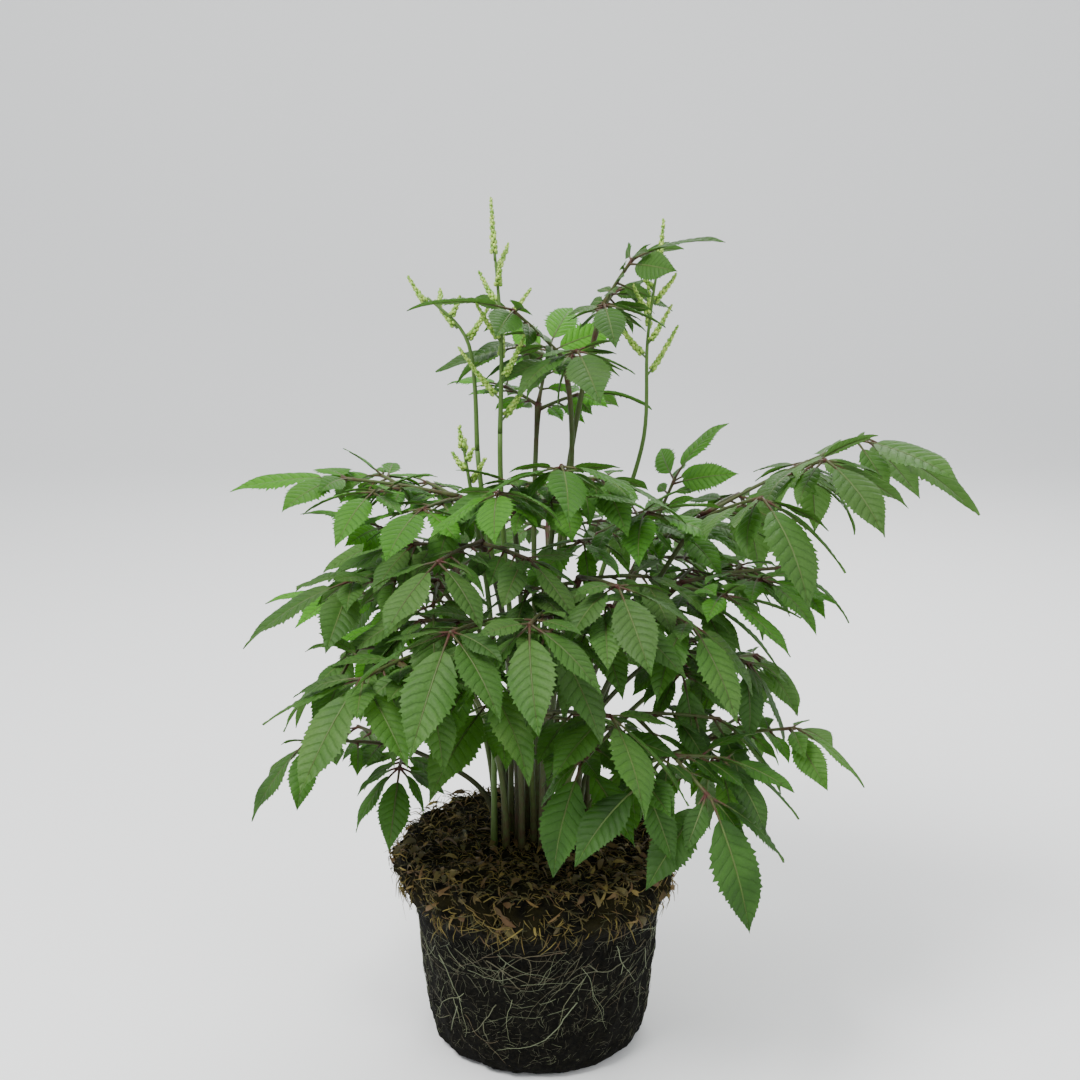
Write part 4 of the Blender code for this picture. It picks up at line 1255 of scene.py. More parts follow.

# %% [markdown]
# The leaf finish puts flesh and lines together, and darkens the veins as painted shade in their sunken
# creases. The underside is paler, and light passes through the blade: a translucent shader mixed in gives
# the glow of leaves that stand before the light, which no surface colour can.

# %% Leaf finish
LEAF_BELOW, RIB_PALE, GLOW = (0.090, 0.165, 0.048), (0.125, 0.215, 0.045), (0.100, 0.360, 0.006)
# Painted vein shade: how far the veins are darkened, as shade in their creases
PAINTED_VEIN_SHADE, RIB_SHARE, BELOW_SHARE = 0.32, 0.7, 0.62
LEAF_ROUGHNESS, LEAF_SHINE = 0.60, 0.28
PORE_SCALE, PORE_STRENGTH, PORE_DEPTH = 480.0, 0.55, 0.0006
GLOW_TINT, GLOW_SHARE = 0.55, 0.20


def leaf_finish():
    finish, nodes, links, shader = new_finish("leaf_blade")
    body = leaf_flesh(nodes, links)
    rib, vein = leaf_lines(nodes, links)
    # The veins are darkened towards the deep green: painted shade in their sunken creases
    body = mixed(nodes, links, reckoned(nodes, links, "MULTIPLY", vein, PAINTED_VEIN_SHADE), body, LEAF_DARK)
    body = mixed(nodes, links, reckoned(nodes, links, "MULTIPLY", rib, RIB_SHARE), body, RIB_PALE)
    side = nodes.new("ShaderNodeNewGeometry")
    below = mixed(nodes, links, BELOW_SHARE, body, LEAF_BELOW)
    body = mixed(nodes, links, side.outputs["Backfacing"], body, below)
    links.new(body, shader.inputs["Base Color"])
    shader.inputs["Roughness"].default_value = LEAF_ROUGHNESS
    shader.inputs["Specular IOR Level"].default_value = LEAF_SHINE
    lines = reckoned(nodes, links, "MAXIMUM", rib, vein)
    height = reckoned(nodes, links, "SUBTRACT", speckle(nodes, links, PORE_SCALE, 4.0), lines)
    bumped(nodes, links, shader, height, PORE_STRENGTH, PORE_DEPTH)
    glow = nodes.new("ShaderNodeBsdfTranslucent")
    links.new(mixed(nodes, links, GLOW_TINT, body, GLOW), glow.inputs["Color"])
    both = nodes.new("ShaderNodeMixShader")
    both.inputs["Fac"].default_value = GLOW_SHARE
    links.new(shader.outputs["BSDF"], both.inputs[1])
    links.new(glow.outputs["BSDF"], both.inputs[2])
    links.new(both.outputs["Shader"], nodes["Material Output"].inputs["Surface"])
    return finish


leaf_blade = leaf_finish()
print("nodes of the leaf finish", len(leaf_blade.node_tree.nodes))

# %% [markdown]
# The stalks are olive green, flushed purple-brown at the foot, at each fork and under each leaflet. At the
# foot the flush is deeper, partly as painted shade under the fronds. The flush is a number in the mesh, so
# it follows the form exactly, with noise to break it up.

# %% Stalk finish
STALK_OLIVE = (0.030, 0.048, 0.014)
STALK_LIGHT = (0.085, 0.165, 0.032)
STALK_FLUSH_AND_SHADE = (0.060, 0.017, 0.012)
STREAK_SCALE, STREAK_EDGE, LEAST_FLUSH = 260.0, (0.3, 0.75), 0.45
STREAK_STRENGTH, STREAK_DEPTH = 0.3, 0.0004


def stalk_finish():
    finish, nodes, links, shader = new_finish("stalk_skin")
    tones = tone_parts(nodes, links)
    streak = between(nodes, links, speckle(nodes, links, STREAK_SCALE, 3.0), *STREAK_EDGE)
    skin = mixed(nodes, links, tones["Green"], STALK_OLIVE, STALK_LIGHT)
    uneven = reckoned(nodes, links, "ADD", streak, LEAST_FLUSH)
    # How much flush colour: at the foot this is partly painted shade under the fronds
    flush = reckoned(nodes, links, "MULTIPLY", tones["Red"], uneven, clamp=True)
    links.new(mixed(nodes, links, flush, skin, STALK_FLUSH_AND_SHADE), shader.inputs["Base Color"])
    shader.inputs["Roughness"].default_value = 0.55
    shader.inputs["Specular IOR Level"].default_value = 0.30
    bumped(nodes, links, shader, streak, STREAK_STRENGTH, STREAK_DEPTH)
    return finish


stalk_skin = stalk_finish()
print("nodes of the stalk finish", len(stalk_skin.node_tree.nodes))

# %% [markdown]
# Between the large leaflets a frond bears small ones, in pairs on its branches, that close the gaps. The
# solids have no room for them within their limit, so they are grown here. Each is kept only where its
# blade meets nothing that stands already.

# %% Small leaflets between the large ones
SMALL_SPOTS, SMALL_SIZE, SMALL_TRIES = (0.24, 0.48, 0.72, 0.95), (0.36, 0.60), 12
SMALL_ANGLE, SMALL_DROOP = math.radians(66), math.radians(14)
FIRST_LOOSE, MORE_LOOSE, SMALL_TWIST = 0.25, 0.09, 0.4


def small_leaflet(frond, aim, lean, foot, hand, size, rng):
    """A small leaflet that meets nothing, or None. Each try turns it further from its pair's angle."""
    for attempt in range(SMALL_TRIES):
        loose = FIRST_LOOSE + MORE_LOOSE * attempt
        way = turned(aim, lean, hand * SMALL_ANGLE + rng.uniform(-loose, loose))
        side = way.cross(lean).normalized()
        way = turned(way, side, -SMALL_DROOP + rng.uniform(-loose, loose))
        face = square_to(turned(lean, way, rng.uniform(-SMALL_TWIST, SMALL_TWIST)), way)
        base = foot + way * (SHORTEST_TWIG + TWIG_SHARE * size)
        leaf = Leaf(base, way, face, size, size * LEAF_WIDTH, rng.uniform(*BEND_SPREAD), 2)
        if not growth.crosses("", blade_guard(leaf)):
            growth.add(frond.name, blade_shell(leaf, 2)[0])
            return leaf
    return None


def small_leaflets(frond, start, end, rng):
    """The small leaflets along one branch, each with the point where its twig begins."""
    aim = (end - start).normalized()
    lean = square_to(UP, aim)
    grown = []
    for share in SMALL_SPOTS:
        foot = start.lerp(end, share)
        for hand in (1, -1):
            leaf = small_leaflet(frond, aim, lean, foot, hand, frond.leaf * rng.uniform(*SMALL_SIZE), rng)
            if leaf:
                grown.append((leaf, foot))
    return grown


print("places for small leaflets on a branch", 2 * len(SMALL_SPOTS))

# %% [markdown]
# Young leaves open bright green and the lowest fronds are given a deeper green, so the fronds aren't all
# one green. How young the upper and left fronds are, and how deep the green of the lowest ones, was judged
# from the plant.

# %% Young and deep green fronds
YOUNG = {
    "frond_left_young": 0.95,
    "frond_behind_top": 0.85,
    "frond_left_behind": 0.75,
    "frond_right_top": 0.6,
    "frond_upper_left": 0.55,
    "frond_top_front": 0.45,
    "frond_inner_high": 0.4,
    "frond_right_middle": 0.35,
    "frond_top_centre": 0.25,
    "frond_low_right": 0.2,
}
DEEP = {"frond_front_low_right": 0.45, "frond_right_lower": 0.3, "frond_front": 0.15, "frond_low_left": 0.2}
print("young fronds", len(YOUNG), "deep green fronds", len(DEEP))

# %% [markdown]
# Each frond becomes two pieces, its blades and its stalks, which together take the place of its solid. Two
# pieces are easier to finish than one with two materials, and far fewer than one for each leaflet.

# %% Make every frond
STALK_LIGHT_SPREAD, YOUNG_LIGHTER = (0.0, 0.45), 0.5
FROND_SPREAD, LEAFLET_SPREAD = (0.25, 0.75), (-0.25, 0.25)
YOUNG_SPREAD, FRESH_SPREAD = (0.5, 1.0), (0.0, 0.12)


def fine_frond(frond, rng):
    """The sheets of one frond, of its blades and of its stalks, and how many small leaflets it got."""
    young = YOUNG.get(frond.name, 0.0)
    light = rng.uniform(*STALK_LIGHT_SPREAD) + YOUNG_LIGHTER * young
    paleness = rng.uniform(*FROND_SPREAD) - DEEP.get(frond.name, 0.0)
    blades, stems, small = Sheet(), Sheet(), []
    fine_stalk(stems, *growth.stalks[frond.name], light)
    large = list(growth.leaves[frond.name])
    for start, end in growth.branches[frond.name]:
        fine_branch(stems, start, end, light, rng)
        small += small_leaflets(frond, start, end, rng)
    for leaf, start in large + small:
        fresh = young * rng.uniform(*YOUNG_SPREAD) + rng.uniform(*FRESH_SPREAD)
        tone = (min(max(paleness + rng.uniform(*LEAFLET_SPREAD), 0.0), 1.0), fresh, 0.0)
        fine_blade(blades, leaf, tone, rng)
        fine_twig(stems, leaf, start, light)
    return blades, stems, len(small)


for frond in FRONDS:
    blades, stems, small = fine_frond(frond, random.Random("fine" + frond.name))
    short = frond.name.replace("frond_", "")
    counts = (make_piece("blades_" + short, blades, leaf_blade, frond.name),
              make_piece("stalks_" + short, stems, stalk_skin, frond.name))
    print(short, "small leaflets", small, "triangles", counts)

# %% [markdown]
# The flower stems end in small branched spikes of tight green buds. One pale green would make each spike
# a smooth rod, so patches of a deeper green set the buds apart: painted shade between the buds, scattered
# by noise. A tone marks the thin stem of the spike, which is as light as the stem that it grows from.

# %% Bud finish
BUD_PALE = (0.42, 0.58, 0.11)
BUD_SHADE_GREEN = (0.16, 0.34, 0.035)
BUD_PATCH_SCALE, BUD_PATCH_EDGE = 500.0, (0.35, 0.7)


def bud_finish():
    finish, nodes, links, shader = new_finish("bud_skin")
    patch = between(nodes, links, speckle(nodes, links, BUD_PATCH_SCALE, 2.0), *BUD_PATCH_EDGE)
    # Deeper green patches: painted shade between the buds, scattered by noise
    skin = mixed(nodes, links, patch, BUD_SHADE_GREEN, BUD_PALE)
    skin = mixed(nodes, links, tone_parts(nodes, links)["Red"], skin, STALK_LIGHT)
    links.new(skin, shader.inputs["Base Color"])
    shader.inputs["Roughness"].default_value = 0.5
    return finish


bud_skin = bud_finish()
print("nodes of the bud finish", len(bud_skin.node_tree.nodes))

# %% [markdown]
# A bud is a little ball of twenty faces, drawn out along its spike. A smooth sphere would need hundreds,
# and nobody could tell them apart at the size of a pinhead.

# %% One bud
PHI = (1 + 5**0.5) / 2
BALL_POINTS = [Vector(p).normalized() for p in (
    (-1, PHI, 0), (1, PHI, 0), (-1, -PHI, 0), (1, -PHI, 0), (0, -1, PHI), (0, 1, PHI),
    (0, -1, -PHI), (0, 1, -PHI), (PHI, 0, -1), (PHI, 0, 1), (-PHI, 0, -1), (-PHI, 0, 1))]
BALL_FACES = (
    (0, 11, 5), (0, 5, 1), (0, 1, 7), (0, 7, 10), (0, 10, 11), (1, 5, 9), (5, 11, 4), (11, 10, 2),
    (10, 7, 6), (7, 1, 8), (3, 9, 4), (3, 4, 2), (3, 2, 6), (3, 6, 8), (3, 8, 9), (4, 9, 5),
    (2, 4, 11), (6, 2, 10), (8, 6, 7), (9, 8, 1))
BUD_STRETCH = 0.45


def fine_bud(sheet, middle, along, radius):
    points = [middle + (p + along * p.dot(along) * BUD_STRETCH) * radius for p in BALL_POINTS]
    count = len(points)
    sheet.add(points, list(BALL_FACES), [(0.5, 0.5)] * count, [(0.0, 0.0, 0.0)] * count)


trial = Sheet()
fine_bud(trial, Vector(), UP, 0.001)
print("faces of a bud", len(trial.faces))

# %% [markdown]
# A spike is packed with buds from near its foot to its tip. They are set round it by the golden angle, so
# that no two stand in a row, and they get smaller towards the tip, where they open last.

# %% A spike of buds
FINE_SPIKE_STEPS, FINE_SPIKE_SIDES = 8, 6
SPIKE_THICK, SPIKE_THIN = 0.0007, 0.0004
BUD_SPACING, FIRST_BUD = 0.00058, 0.14
BUD_SIZE, BUD_SHRINK = 0.00125, 0.00055
BUD_SPREAD = (0.8, 1.15)
BUD_OUT, BUD_FORWARD, BUD_REACH = 0.9, 0.3, 1.25
FULL_AT_FOOT, CLOSER_AT_TIP = 1.1, 0.5


def fine_spike(sheet, start, line, length, rng):
    steps = FINE_SPIKE_STEPS
    route = [start + line * length * k / steps + UP * length * SPIKE_LIFT * (k / steps) ** 2
             for k in range(steps + 1)]
    radii = [SPIKE_THICK - SPIKE_THIN * k / steps for k in range(steps + 1)]
    fine_tube(sheet, route, radii, FINE_SPIKE_SIDES, [(1.0, 0, 0)] * (steps + 1))
    count = int(length / BUD_SPACING)
    for k in range(count):
        t = FIRST_BUD + (1 - FIRST_BUD) * k / count
        step = min(int(t * steps), steps - 1)
        middle = route[step].lerp(route[step + 1], t * steps - step)
        along = (route[step + 1] - route[step]).normalized()
        out = turned(along.orthogonal().normalized(), along, k * GOLDEN_ANGLE)
        size = (BUD_SIZE - BUD_SHRINK * t) * rng.uniform(*BUD_SPREAD)
        away = (out * BUD_OUT + along * BUD_FORWARD) * (size * BUD_REACH * (FULL_AT_FOOT - CLOSER_AT_TIP * t))
        fine_bud(sheet, middle + away, along, size)


trial = Sheet()
fine_spike(trial, Vector(), UP, 0.020, random.Random(SEED))
print("faces of a 20 mm spike", len(trial.faces))

# %% [markdown]
# Each flower stem becomes two pieces, its green stalk and its buds, in place of its solid. The upper part
# is drawn with many more points than its shell has, so that its bends are round.

# %% Make the flower stems
STEM_LIGHT, STEM_LIGHTER = 0.85, 0.15
FINE_STEM_STEPS, FINE_STEM_SIDES = 8, 8
STEM_THICK, STEM_TAPER = 0.00145, 0.0008

for flower in FLOWERS:
    rng = random.Random("fine" + flower.name)
    stem, buds = Sheet(), Sheet()
    fine_stalk(stem, *growth.stalks[flower.name], STEM_LIGHT, 0.0)
    upper = smooth_route([Vector(p) for p in flower.route], FINE_STEM_STEPS)
    count = len(upper)
    radii = [STEM_THICK - STEM_TAPER * k / (count - 1) for k in range(count)]
    tones = [(0.0, STEM_LIGHT + STEM_LIGHTER * k / count, 0.0) for k in range(count)]
    fine_tube(stem, upper, radii, FINE_STEM_SIDES, tones)
    for start, line, length in growth.spikes[flower.name]:
        fine_spike(buds, start, line, length, rng)
    short = flower.name.replace("flower_stem_", "")
    counts = (make_piece("flower_stalk_" + short, stem, stalk_skin, flower.name),
              make_piece("buds_" + short, buds, bud_skin, flower.name))
    print(flower.name, "triangles", counts)

# %% [markdown]
# The compost is nearly black and damp, with brown crumbs, pale grit, and a film of moss over the rim and
# the top. One noise would look like cloud, so three are laid over each other at different sizes.

# %% Soil finish
SOIL_DARK = (0.0016, 0.0016, 0.0011)
SOIL_CRUMB = (0.0100, 0.0092, 0.0056)
SOIL_GRIT = (0.060, 0.054, 0.030)
MOSS_OLIVE = (0.014, 0.012, 0.003)
CRUMB_SCALE, CRUMB_EDGE = 420.0, (0.42, 0.70)
GRIT_SCALE, GRIT_EDGE, GRIT_SHARE = 1500.0, (0.62, 0.74), 0.5
FILM_SCALE, FILM_EDGE = 90.0, (0.35, 0.6)
PIT_SCALE, PIT_STRENGTH, PIT_BUMP = 600.0, 0.9, 0.0025


def soil_finish():
    finish, nodes, links, shader = new_finish("damp_compost")
    crumb = between(nodes, links, speckle(nodes, links, CRUMB_SCALE, 6.0, 0.65), *CRUMB_EDGE)
    pale = between(nodes, links, speckle(nodes, links, GRIT_SCALE, 3.0, 0.6), *GRIT_EDGE)
    body = mixed(nodes, links, crumb, SOIL_DARK, SOIL_CRUMB)
    body = mixed(nodes, links, reckoned(nodes, links, "MULTIPLY", pale, GRIT_SHARE), body, SOIL_GRIT)
    film = between(nodes, links, speckle(nodes, links, FILM_SCALE, 4.0), *FILM_EDGE)
    moss = reckoned(nodes, links, "MULTIPLY", tone_parts(nodes, links)["Red"], film)
    links.new(mixed(nodes, links, moss, body, MOSS_OLIVE), shader.inputs["Base Color"])
    shader.inputs["Roughness"].default_value = 0.95
    shader.inputs["Specular IOR Level"].default_value = 0.10
    bumped(nodes, links, shader, speckle(nodes, links, PIT_SCALE, 8.0, 0.7), PIT_STRENGTH, PIT_BUMP)
    return finish


damp_compost = soil_finish()
print("nodes of the soil finish", len(damp_compost.node_tree.nodes))

# %% [markdown]
# The round pot has cast the root ball, so its wall is a turned profile: pairs of radius and height, with a
# collar that bulges where the pot's rim was. Layered noise pushes it in and out, gently on the wall and
# strongly where moss covers the collar and the top.

# %% The form of the root ball
# (radius, height) up the wall
BALL_WALL = ((0.0520, 0.0), (0.0600, 0.0030), (0.0640, 0.0110), (0.0665, 0.0360), (0.0695, 0.0620),
             (0.0712, 0.0840), (0.0768, 0.0935), (0.0795, 0.1040), (0.0780, 0.1130), (0.0710, 0.1180))
BALL_TOP_RADII = (0.0600, 0.0470, 0.0330, 0.0170)
WALL_LUMP = 0.0016
MOSS_LUMP = 0.0048
CROWN_LUMP = 0.0016
COLLAR_FROM = 0.090
COLLAR_BULGE = 0.0030
MOSSY_OVER, CROWN_FROM, CROWN_OVER = 0.012, 0.062, 0.012
WALL_NOISE, TOP_NOISE, NOISE_APART = 85, 60, 3
FLAT_FOOT = 0.001


def ball_point(angle, radius, height):
    """The root ball's surface: the pot's form, with lumps of moss over its collar and top."""
    x, y = radius * math.cos(angle), radius * math.sin(angle)
    mossy = min(max((height - COLLAR_FROM) / MOSSY_OVER, 0), 1)
    rough = noise.noise(Vector((x, y, height)) * WALL_NOISE)
    crown = min(max((CROWN_FROM - radius) / CROWN_OVER, 0), 1) * mossy
    amount = WALL_LUMP + (MOSS_LUMP - WALL_LUMP) * mossy + (CROWN_LUMP - MOSS_LUMP) * crown
    if height < FLAT_FOOT:
        amount = 0
    out = radius + rough * amount * (1 - crown) - mossy * (1 - crown) * COLLAR_BULGE * math.cos(angle)
    up = noise.noise(Vector((x, y, height + NOISE_APART)) * TOP_NOISE) * amount * mossy
    return Vector((out * math.cos(angle), out * math.sin(angle), height + up))


print("widest of the wall", 2 * max(radius for radius, height in BALL_WALL), "m")

# %% [markdown]
# Crumbs and pits make the surface itself rough. A bump map would leave a smooth outline, and the edge of
# the ball is what gives cast compost away.

# %% Crumbs and pits
CRUMB_NOISE, CRUMB_HEIGHT = 260, 0.0011
FINE_CRUMB_NOISE, FINE_CRUMB_HEIGHT = 620, 0.0007
PIT_NOISE, PIT_DEPTH, PIT_FROM, PIT_SHIFT = 170, 0.0016, 0.25, Vector((5, 0, 0))
FILM_OVER, TOP_FROM, BARE_FOOT = 0.010, 0.113, 0.002


def crumbly_point(angle, radius, height):
    """A point of the ball with its crumbs and pits, and how mossy it is."""
    mossy = min(max((height - COLLAR_FROM) / FILM_OVER, 0), 1)
    at = ball_point(angle, radius, max(height, 0.0))
    away = Vector((at.x, at.y, 0)).normalized() if height < TOP_FROM else UP
    crumbs = noise.noise(at * CRUMB_NOISE) * CRUMB_HEIGHT
    crumbs += noise.noise(at * FINE_CRUMB_NOISE) * FINE_CRUMB_HEIGHT
    pits = -PIT_DEPTH * max(0.0, noise.noise(at * PIT_NOISE + PIT_SHIFT) - PIT_FROM)
    low = 0.0 if height < BARE_FOOT else 1.0
    return at + away * (crumbs * (1 + mossy) + pits) * low, mossy


print("a point half way up is", [round(c, 4) for c in crumbly_point(0.0, 0.069, 0.06)[0]])

# %% [markdown]
# The ball is one closed skin: rings of points up the wall and in over the top, joined by four-sided faces.
# Blender's Spin or Screw could turn the profile, but each point is pushed by noise anyway.

# %% Make the root ball
ROUND = 170
PROFILE_STEPS = 6

corners = BALL_WALL + tuple((radius, SOIL_HEIGHT) for radius in BALL_TOP_RADII)
profile = smooth_route([Vector((radius, 0, height)) for radius, height in corners], PROFILE_STEPS)
ball = Sheet()
for p in profile:
    for n in range(ROUND):
        at, mossy = crumbly_point(2 * math.pi * n / ROUND, p.x, p.z)
        ball.add([at], [], [(n / ROUND, p.z)], [(mossy, 0.0, 0.0)])
for k in range(len(profile) - 1):
    for n in range(ROUND):
        m = (n + 1) % ROUND
        ball.faces.append((k * ROUND + n, k * ROUND + m, (k + 1) * ROUND + m, (k + 1) * ROUND + n))
last = (len(profile) - 1) * ROUND
ball.add([Vector((0, 0, SOIL_HEIGHT))], [], [(0, 0)], [(1.0, 0, 0)])
ball.faces += [(last + n, last + (n + 1) % ROUND, len(ball.points) - 1) for n in range(ROUND)]
ball.faces.append(tuple(range(ROUND - 1, -1, -1)))
print("root ball triangles", make_piece("compost", ball, damp_compost, "root_ball"))

# %% [markdown]
# Roots, moss and straw are thin strands, so one kind of finish does for all: a mix of three colours by the
# two tones of each strand. Every strand then has its own colour, which a noise over them could not give.

# %% Root and moss finish
def strand_finish(name, first, second, third, roughness):
    finish, nodes, links, shader = new_finish(name)
    tones = tone_parts(nodes, links)
    skin = mixed(nodes, links, tones["Red"], first, second)
    skin = mixed(nodes, links, reckoned(nodes, links, "MULTIPLY", tones["Green"], 0.85), skin, third)
    links.new(skin, shader.inputs["Base Color"])
    shader.inputs["Roughness"].default_value = roughness
    return finish


ROOT_SHADE, ROOT_PALE, ROOT_BROWN = (0.030, 0.032, 0.016), (0.230, 0.270, 0.150), (0.085, 0.055, 0.022)
MOSS_DEEP, STRAW, LITTER = (0.030, 0.034, 0.006), (0.230, 0.175, 0.034), (0.075, 0.032, 0.006)
root_skin = strand_finish("fine_root", ROOT_SHADE, ROOT_PALE, ROOT_BROWN, 0.6)
moss_skin = strand_finish("moss_and_straw", MOSS_DEEP, STRAW, LITTER, 0.8)
print("nodes of a strand's finish", len(root_skin.node_tree.nodes))

# %% [markdown]
# Fine roots net the wall where the pot was. Each one wanders over the surface and lies just proud of it. A
# texture could only paint them, while thin tubes catch the light and throw a shadow.

# %% Wander over the wall
ROOT_STEP = 0.0032
ROOT_LOW, ROOT_HIGH = 0.007, 0.088
PROUD_SPREAD = 0.0005


def wall_radius(height):
    for (r0, h0), (r1, h1) in zip(BALL_WALL, BALL_WALL[1:]):
        if h0 <= height <= h1:
            return r0 + (r1 - r0) * (height - h0) / (h1 - h0)
    return BALL_WALL[-1][0]


def wander(angle, height, heading, steps, turn, proud, rng):
    """A route over the wall that starts at angle and height and bends a little at each step."""
    route = []
    for step in range(steps):
        skin = ball_point(angle, wall_radius(height), height)
        out = Vector((skin.x, skin.y, 0)).normalized()
        route.append(skin + out * (proud + PROUD_SPREAD * rng.random()))
        heading += rng.gauss(0, turn)
        angle += ROOT_STEP * math.sin(heading) / wall_radius(height)
        height -= ROOT_STEP * math.cos(heading)
        if not ROOT_LOW < height < ROOT_HIGH:
            break
    return route


print("radius half way up the wall", round(wall_radius(0.059), 4))

# %% [markdown]
# The thicker roots run mostly downwards and to one side, as they do when they meet a pot's wall, and fork
# here and there. Their thickness and colour differ, and they thin towards their tips.

# %% Roots and their forks
ROOT_COUNT, ROOT_SIDES, ROOT_TAPER = 150, 5, 0.65
ROOT_LENGTH, ROOT_TURN, ROOT_PROUD = (5, 20), 0.13, 0.3
FORK_CHOICE, FORK_LENGTH, FORK_TURN, FORK_PROUD, FORK_AWAY = (0, 0, 1, 2), (4, 9), 0.18, 0.2, 0.8
FEWEST_TO_FORK, FEWEST_POINTS = 6, 4
LOWEST_START, START_SPAN, START_CROWDING = 0.024, 0.064, 0.6
SIDEWAYS = (0.0, 2.0, 0.7)
THINNEST_ROOT, ROOT_THICKER, THICK_RARE = 0.00013, 0.00024, 2
PALE_RARE, BROWN_RARE = 1.5, 3


def root_and_forks(angle, height, heading, radius, rng):
    """The routes of one root and of up to two forks of it."""
    length = rng.randint(*ROOT_LENGTH)
    route = wander(angle, height, heading, length, ROOT_TURN, radius * ROOT_PROUD, rng)
    routes = [route]
    for fork in range(rng.choice(FORK_CHOICE)):
        if len(route) >= FEWEST_TO_FORK:
            at = rng.choice(route[2:-2])
            away = heading + rng.choice((-FORK_AWAY, FORK_AWAY))
            length = rng.randint(*FORK_LENGTH)
            around = math.atan2(at.y, at.x)
            routes.append(wander(around, at.z, away, length, FORK_TURN, radius * FORK_PROUD, rng))
    return [line for line in routes if len(line) >= FEWEST_POINTS]


rng = random.Random("roots")
roots = Sheet()
for k in range(ROOT_COUNT):
    angle = rng.uniform(0, 2 * math.pi)
    height = LOWEST_START + START_SPAN * rng.random() ** START_CROWDING
    heading = rng.choice((-1, 1)) * rng.triangular(*SIDEWAYS)
    radius = THINNEST_ROOT + ROOT_THICKER * rng.random() ** THICK_RARE
    tone = (rng.random() ** PALE_RARE, rng.random() ** BROWN_RARE, 0.0)
    for line in root_and_forks(angle, height, heading, radius, rng):
        count = len(line)
        radii = [radius * (1 - ROOT_TAPER * i / count) for i in range(count)]
        fine_tube(roots, line, radii, ROOT_SIDES, [tone] * count)
print("points of the roots", len(roots.points))

# %% [markdown]
# Between the roots the wall is covered in short root hairs, in every direction. They are almost too thin
# to see one by one, and together they take the smoothness off the compost.

# %% Root hairs
HAIR_COUNT, HAIR_STEPS, HAIR_TURN = 2200, 3, 0.5
HAIR_RADII, HAIR_SIDES = (0.00009, 0.00008, 0.00004), 3
HAIR_PALE_RARE, HAIR_BROWN = 3, 0.25

for k in range(HAIR_COUNT):
    angle, height = rng.uniform(0, 2 * math.pi), rng.uniform(ROOT_LOW, ROOT_HIGH)
    line = wander(angle, height, rng.uniform(0, 2 * math.pi), HAIR_STEPS, HAIR_TURN, 0.0, rng)
    if len(line) == HAIR_STEPS:
        tone = (rng.random() ** HAIR_PALE_RARE, HAIR_BROWN, 0.0)
        fine_tube(roots, line, HAIR_RADII, HAIR_SIDES, [tone] * HAIR_STEPS)
print("root triangles", make_piece("fine_roots", roots, root_skin, "root_ball"))

# %% [markdown]
# Moss, straw and bits of dead leaf cover the top and hang over the rim. A particle system could scatter
# them. Here each spot is drawn from a seeded generator, so the litter is the same every time, and keeps to
# the top and the rim.

# %% A spot on the top or the rim
TOP_REACH = 0.078
RIM_LOW, RIM_HIGH, RIM_CROWDING = 0.094, 0.116, 1.4
RIM_OUT, RIM_UP = 0.97, 0.15
HANG_SPREAD = (0.1, 1.2)


def litter_spot(rng, top_share):
    """A point on the top or the rim, the way that the surface faces there, and a way along it."""
    angle = rng.uniform(0, 2 * math.pi)
    if rng.random() < top_share:
        at = ball_point(angle, TOP_REACH * math.sqrt(rng.random()), SOIL_HEIGHT)
        return at, UP, turned(UP.orthogonal().normalized(), UP, rng.uniform(0, 2 * math.pi))
    height = RIM_HIGH - (RIM_HIGH - RIM_LOW) * rng.random() ** RIM_CROWDING
    at = ball_point(angle, wall_radius(height), height)
    out = Vector((math.cos(angle), math.sin(angle), 0))
    normal = (out * RIM_OUT + UP * RIM_UP).normalized()
    flat = turned(normal.orthogonal().normalized(), normal, rng.uniform(0, 2 * math.pi))
    return at, normal, square_to(flat - UP * rng.uniform(*HANG_SPREAD), normal)


print("height of the rim that is covered", round(RIM_HIGH - RIM_LOW, 3), "m")

# %% [markdown]
# The moss and straw are short bent strands that rise a little from the surface and come down again. A few
# are longer, because a cover of even lengths looks like fur.

# %% Moss and straw
STRAND_COUNT, STRAND_TOP_SHARE = 4200, 0.62
STRAND_LENGTH, STRAND_THICK = (0.004, 0.013), (0.00014, 0.00042)
LONG_SHARE, LONG_STRAND = 0.06, 1.6
STRAND_SUNK = 0.0006
STRAND_RISE, STRAND_LIFT, STRAND_DROP = (0.0, 0.24), (0.0, 0.0016), (0.2, 0.6)
STRAND_TAPER, STRAND_SIDES = (1.0, 0.9, 0.3), 3
STRAW_RARE, LITTER_RARE = 2.0, 3

rng = random.Random("moss")
moss = Sheet()
for k in range(STRAND_COUNT):
    at, normal, flat = litter_spot(rng, STRAND_TOP_SHARE)
    length = rng.uniform(*STRAND_LENGTH) * (LONG_STRAND if rng.random() < LONG_SHARE else 1.0)
    way = (flat + normal * rng.uniform(*STRAND_RISE)).normalized()
    middle = at + way * length * 0.5 + normal * rng.uniform(*STRAND_LIFT)
    end = middle + (way - normal * rng.uniform(*STRAND_DROP)).normalized() * length * 0.5
    thick = rng.uniform(*STRAND_THICK)
    tone = (rng.random() ** STRAW_RARE, rng.random() ** LITTER_RARE, 0.0)
    route = [at - normal * STRAND_SUNK, middle, end]
    fine_tube(moss, route, [thick * share for share in STRAND_TAPER], STRAND_SIDES, [tone] * 3)
print("strands", STRAND_COUNT, "points", len(moss.points))

# %% [markdown]
# Dead leaf dries into curled ribbons. Each is a strip of a few faces that is wide in the middle, arched,
# and turned at random across its length, which is enough at this size.

# %% Bits of dead leaf
FLAKE_COUNT, FLAKE_TOP_SHARE, FLAKE_STEPS = 420, 0.7, 4
FLAKE_LENGTH, FLAKE_WIDTH = (0.005, 0.014), (0.0006, 0.0020)
FLAKE_CURL, FLAKE_LIFT, FLAKE_ARCH = 0.9, 0.0008, 0.0022
FLAKE_START, FLAKE_SPAN = 0.1, 0.85
FLAKE_PALE_RARE, FLAKE_BROWN_RARE = 1.5, 0.7

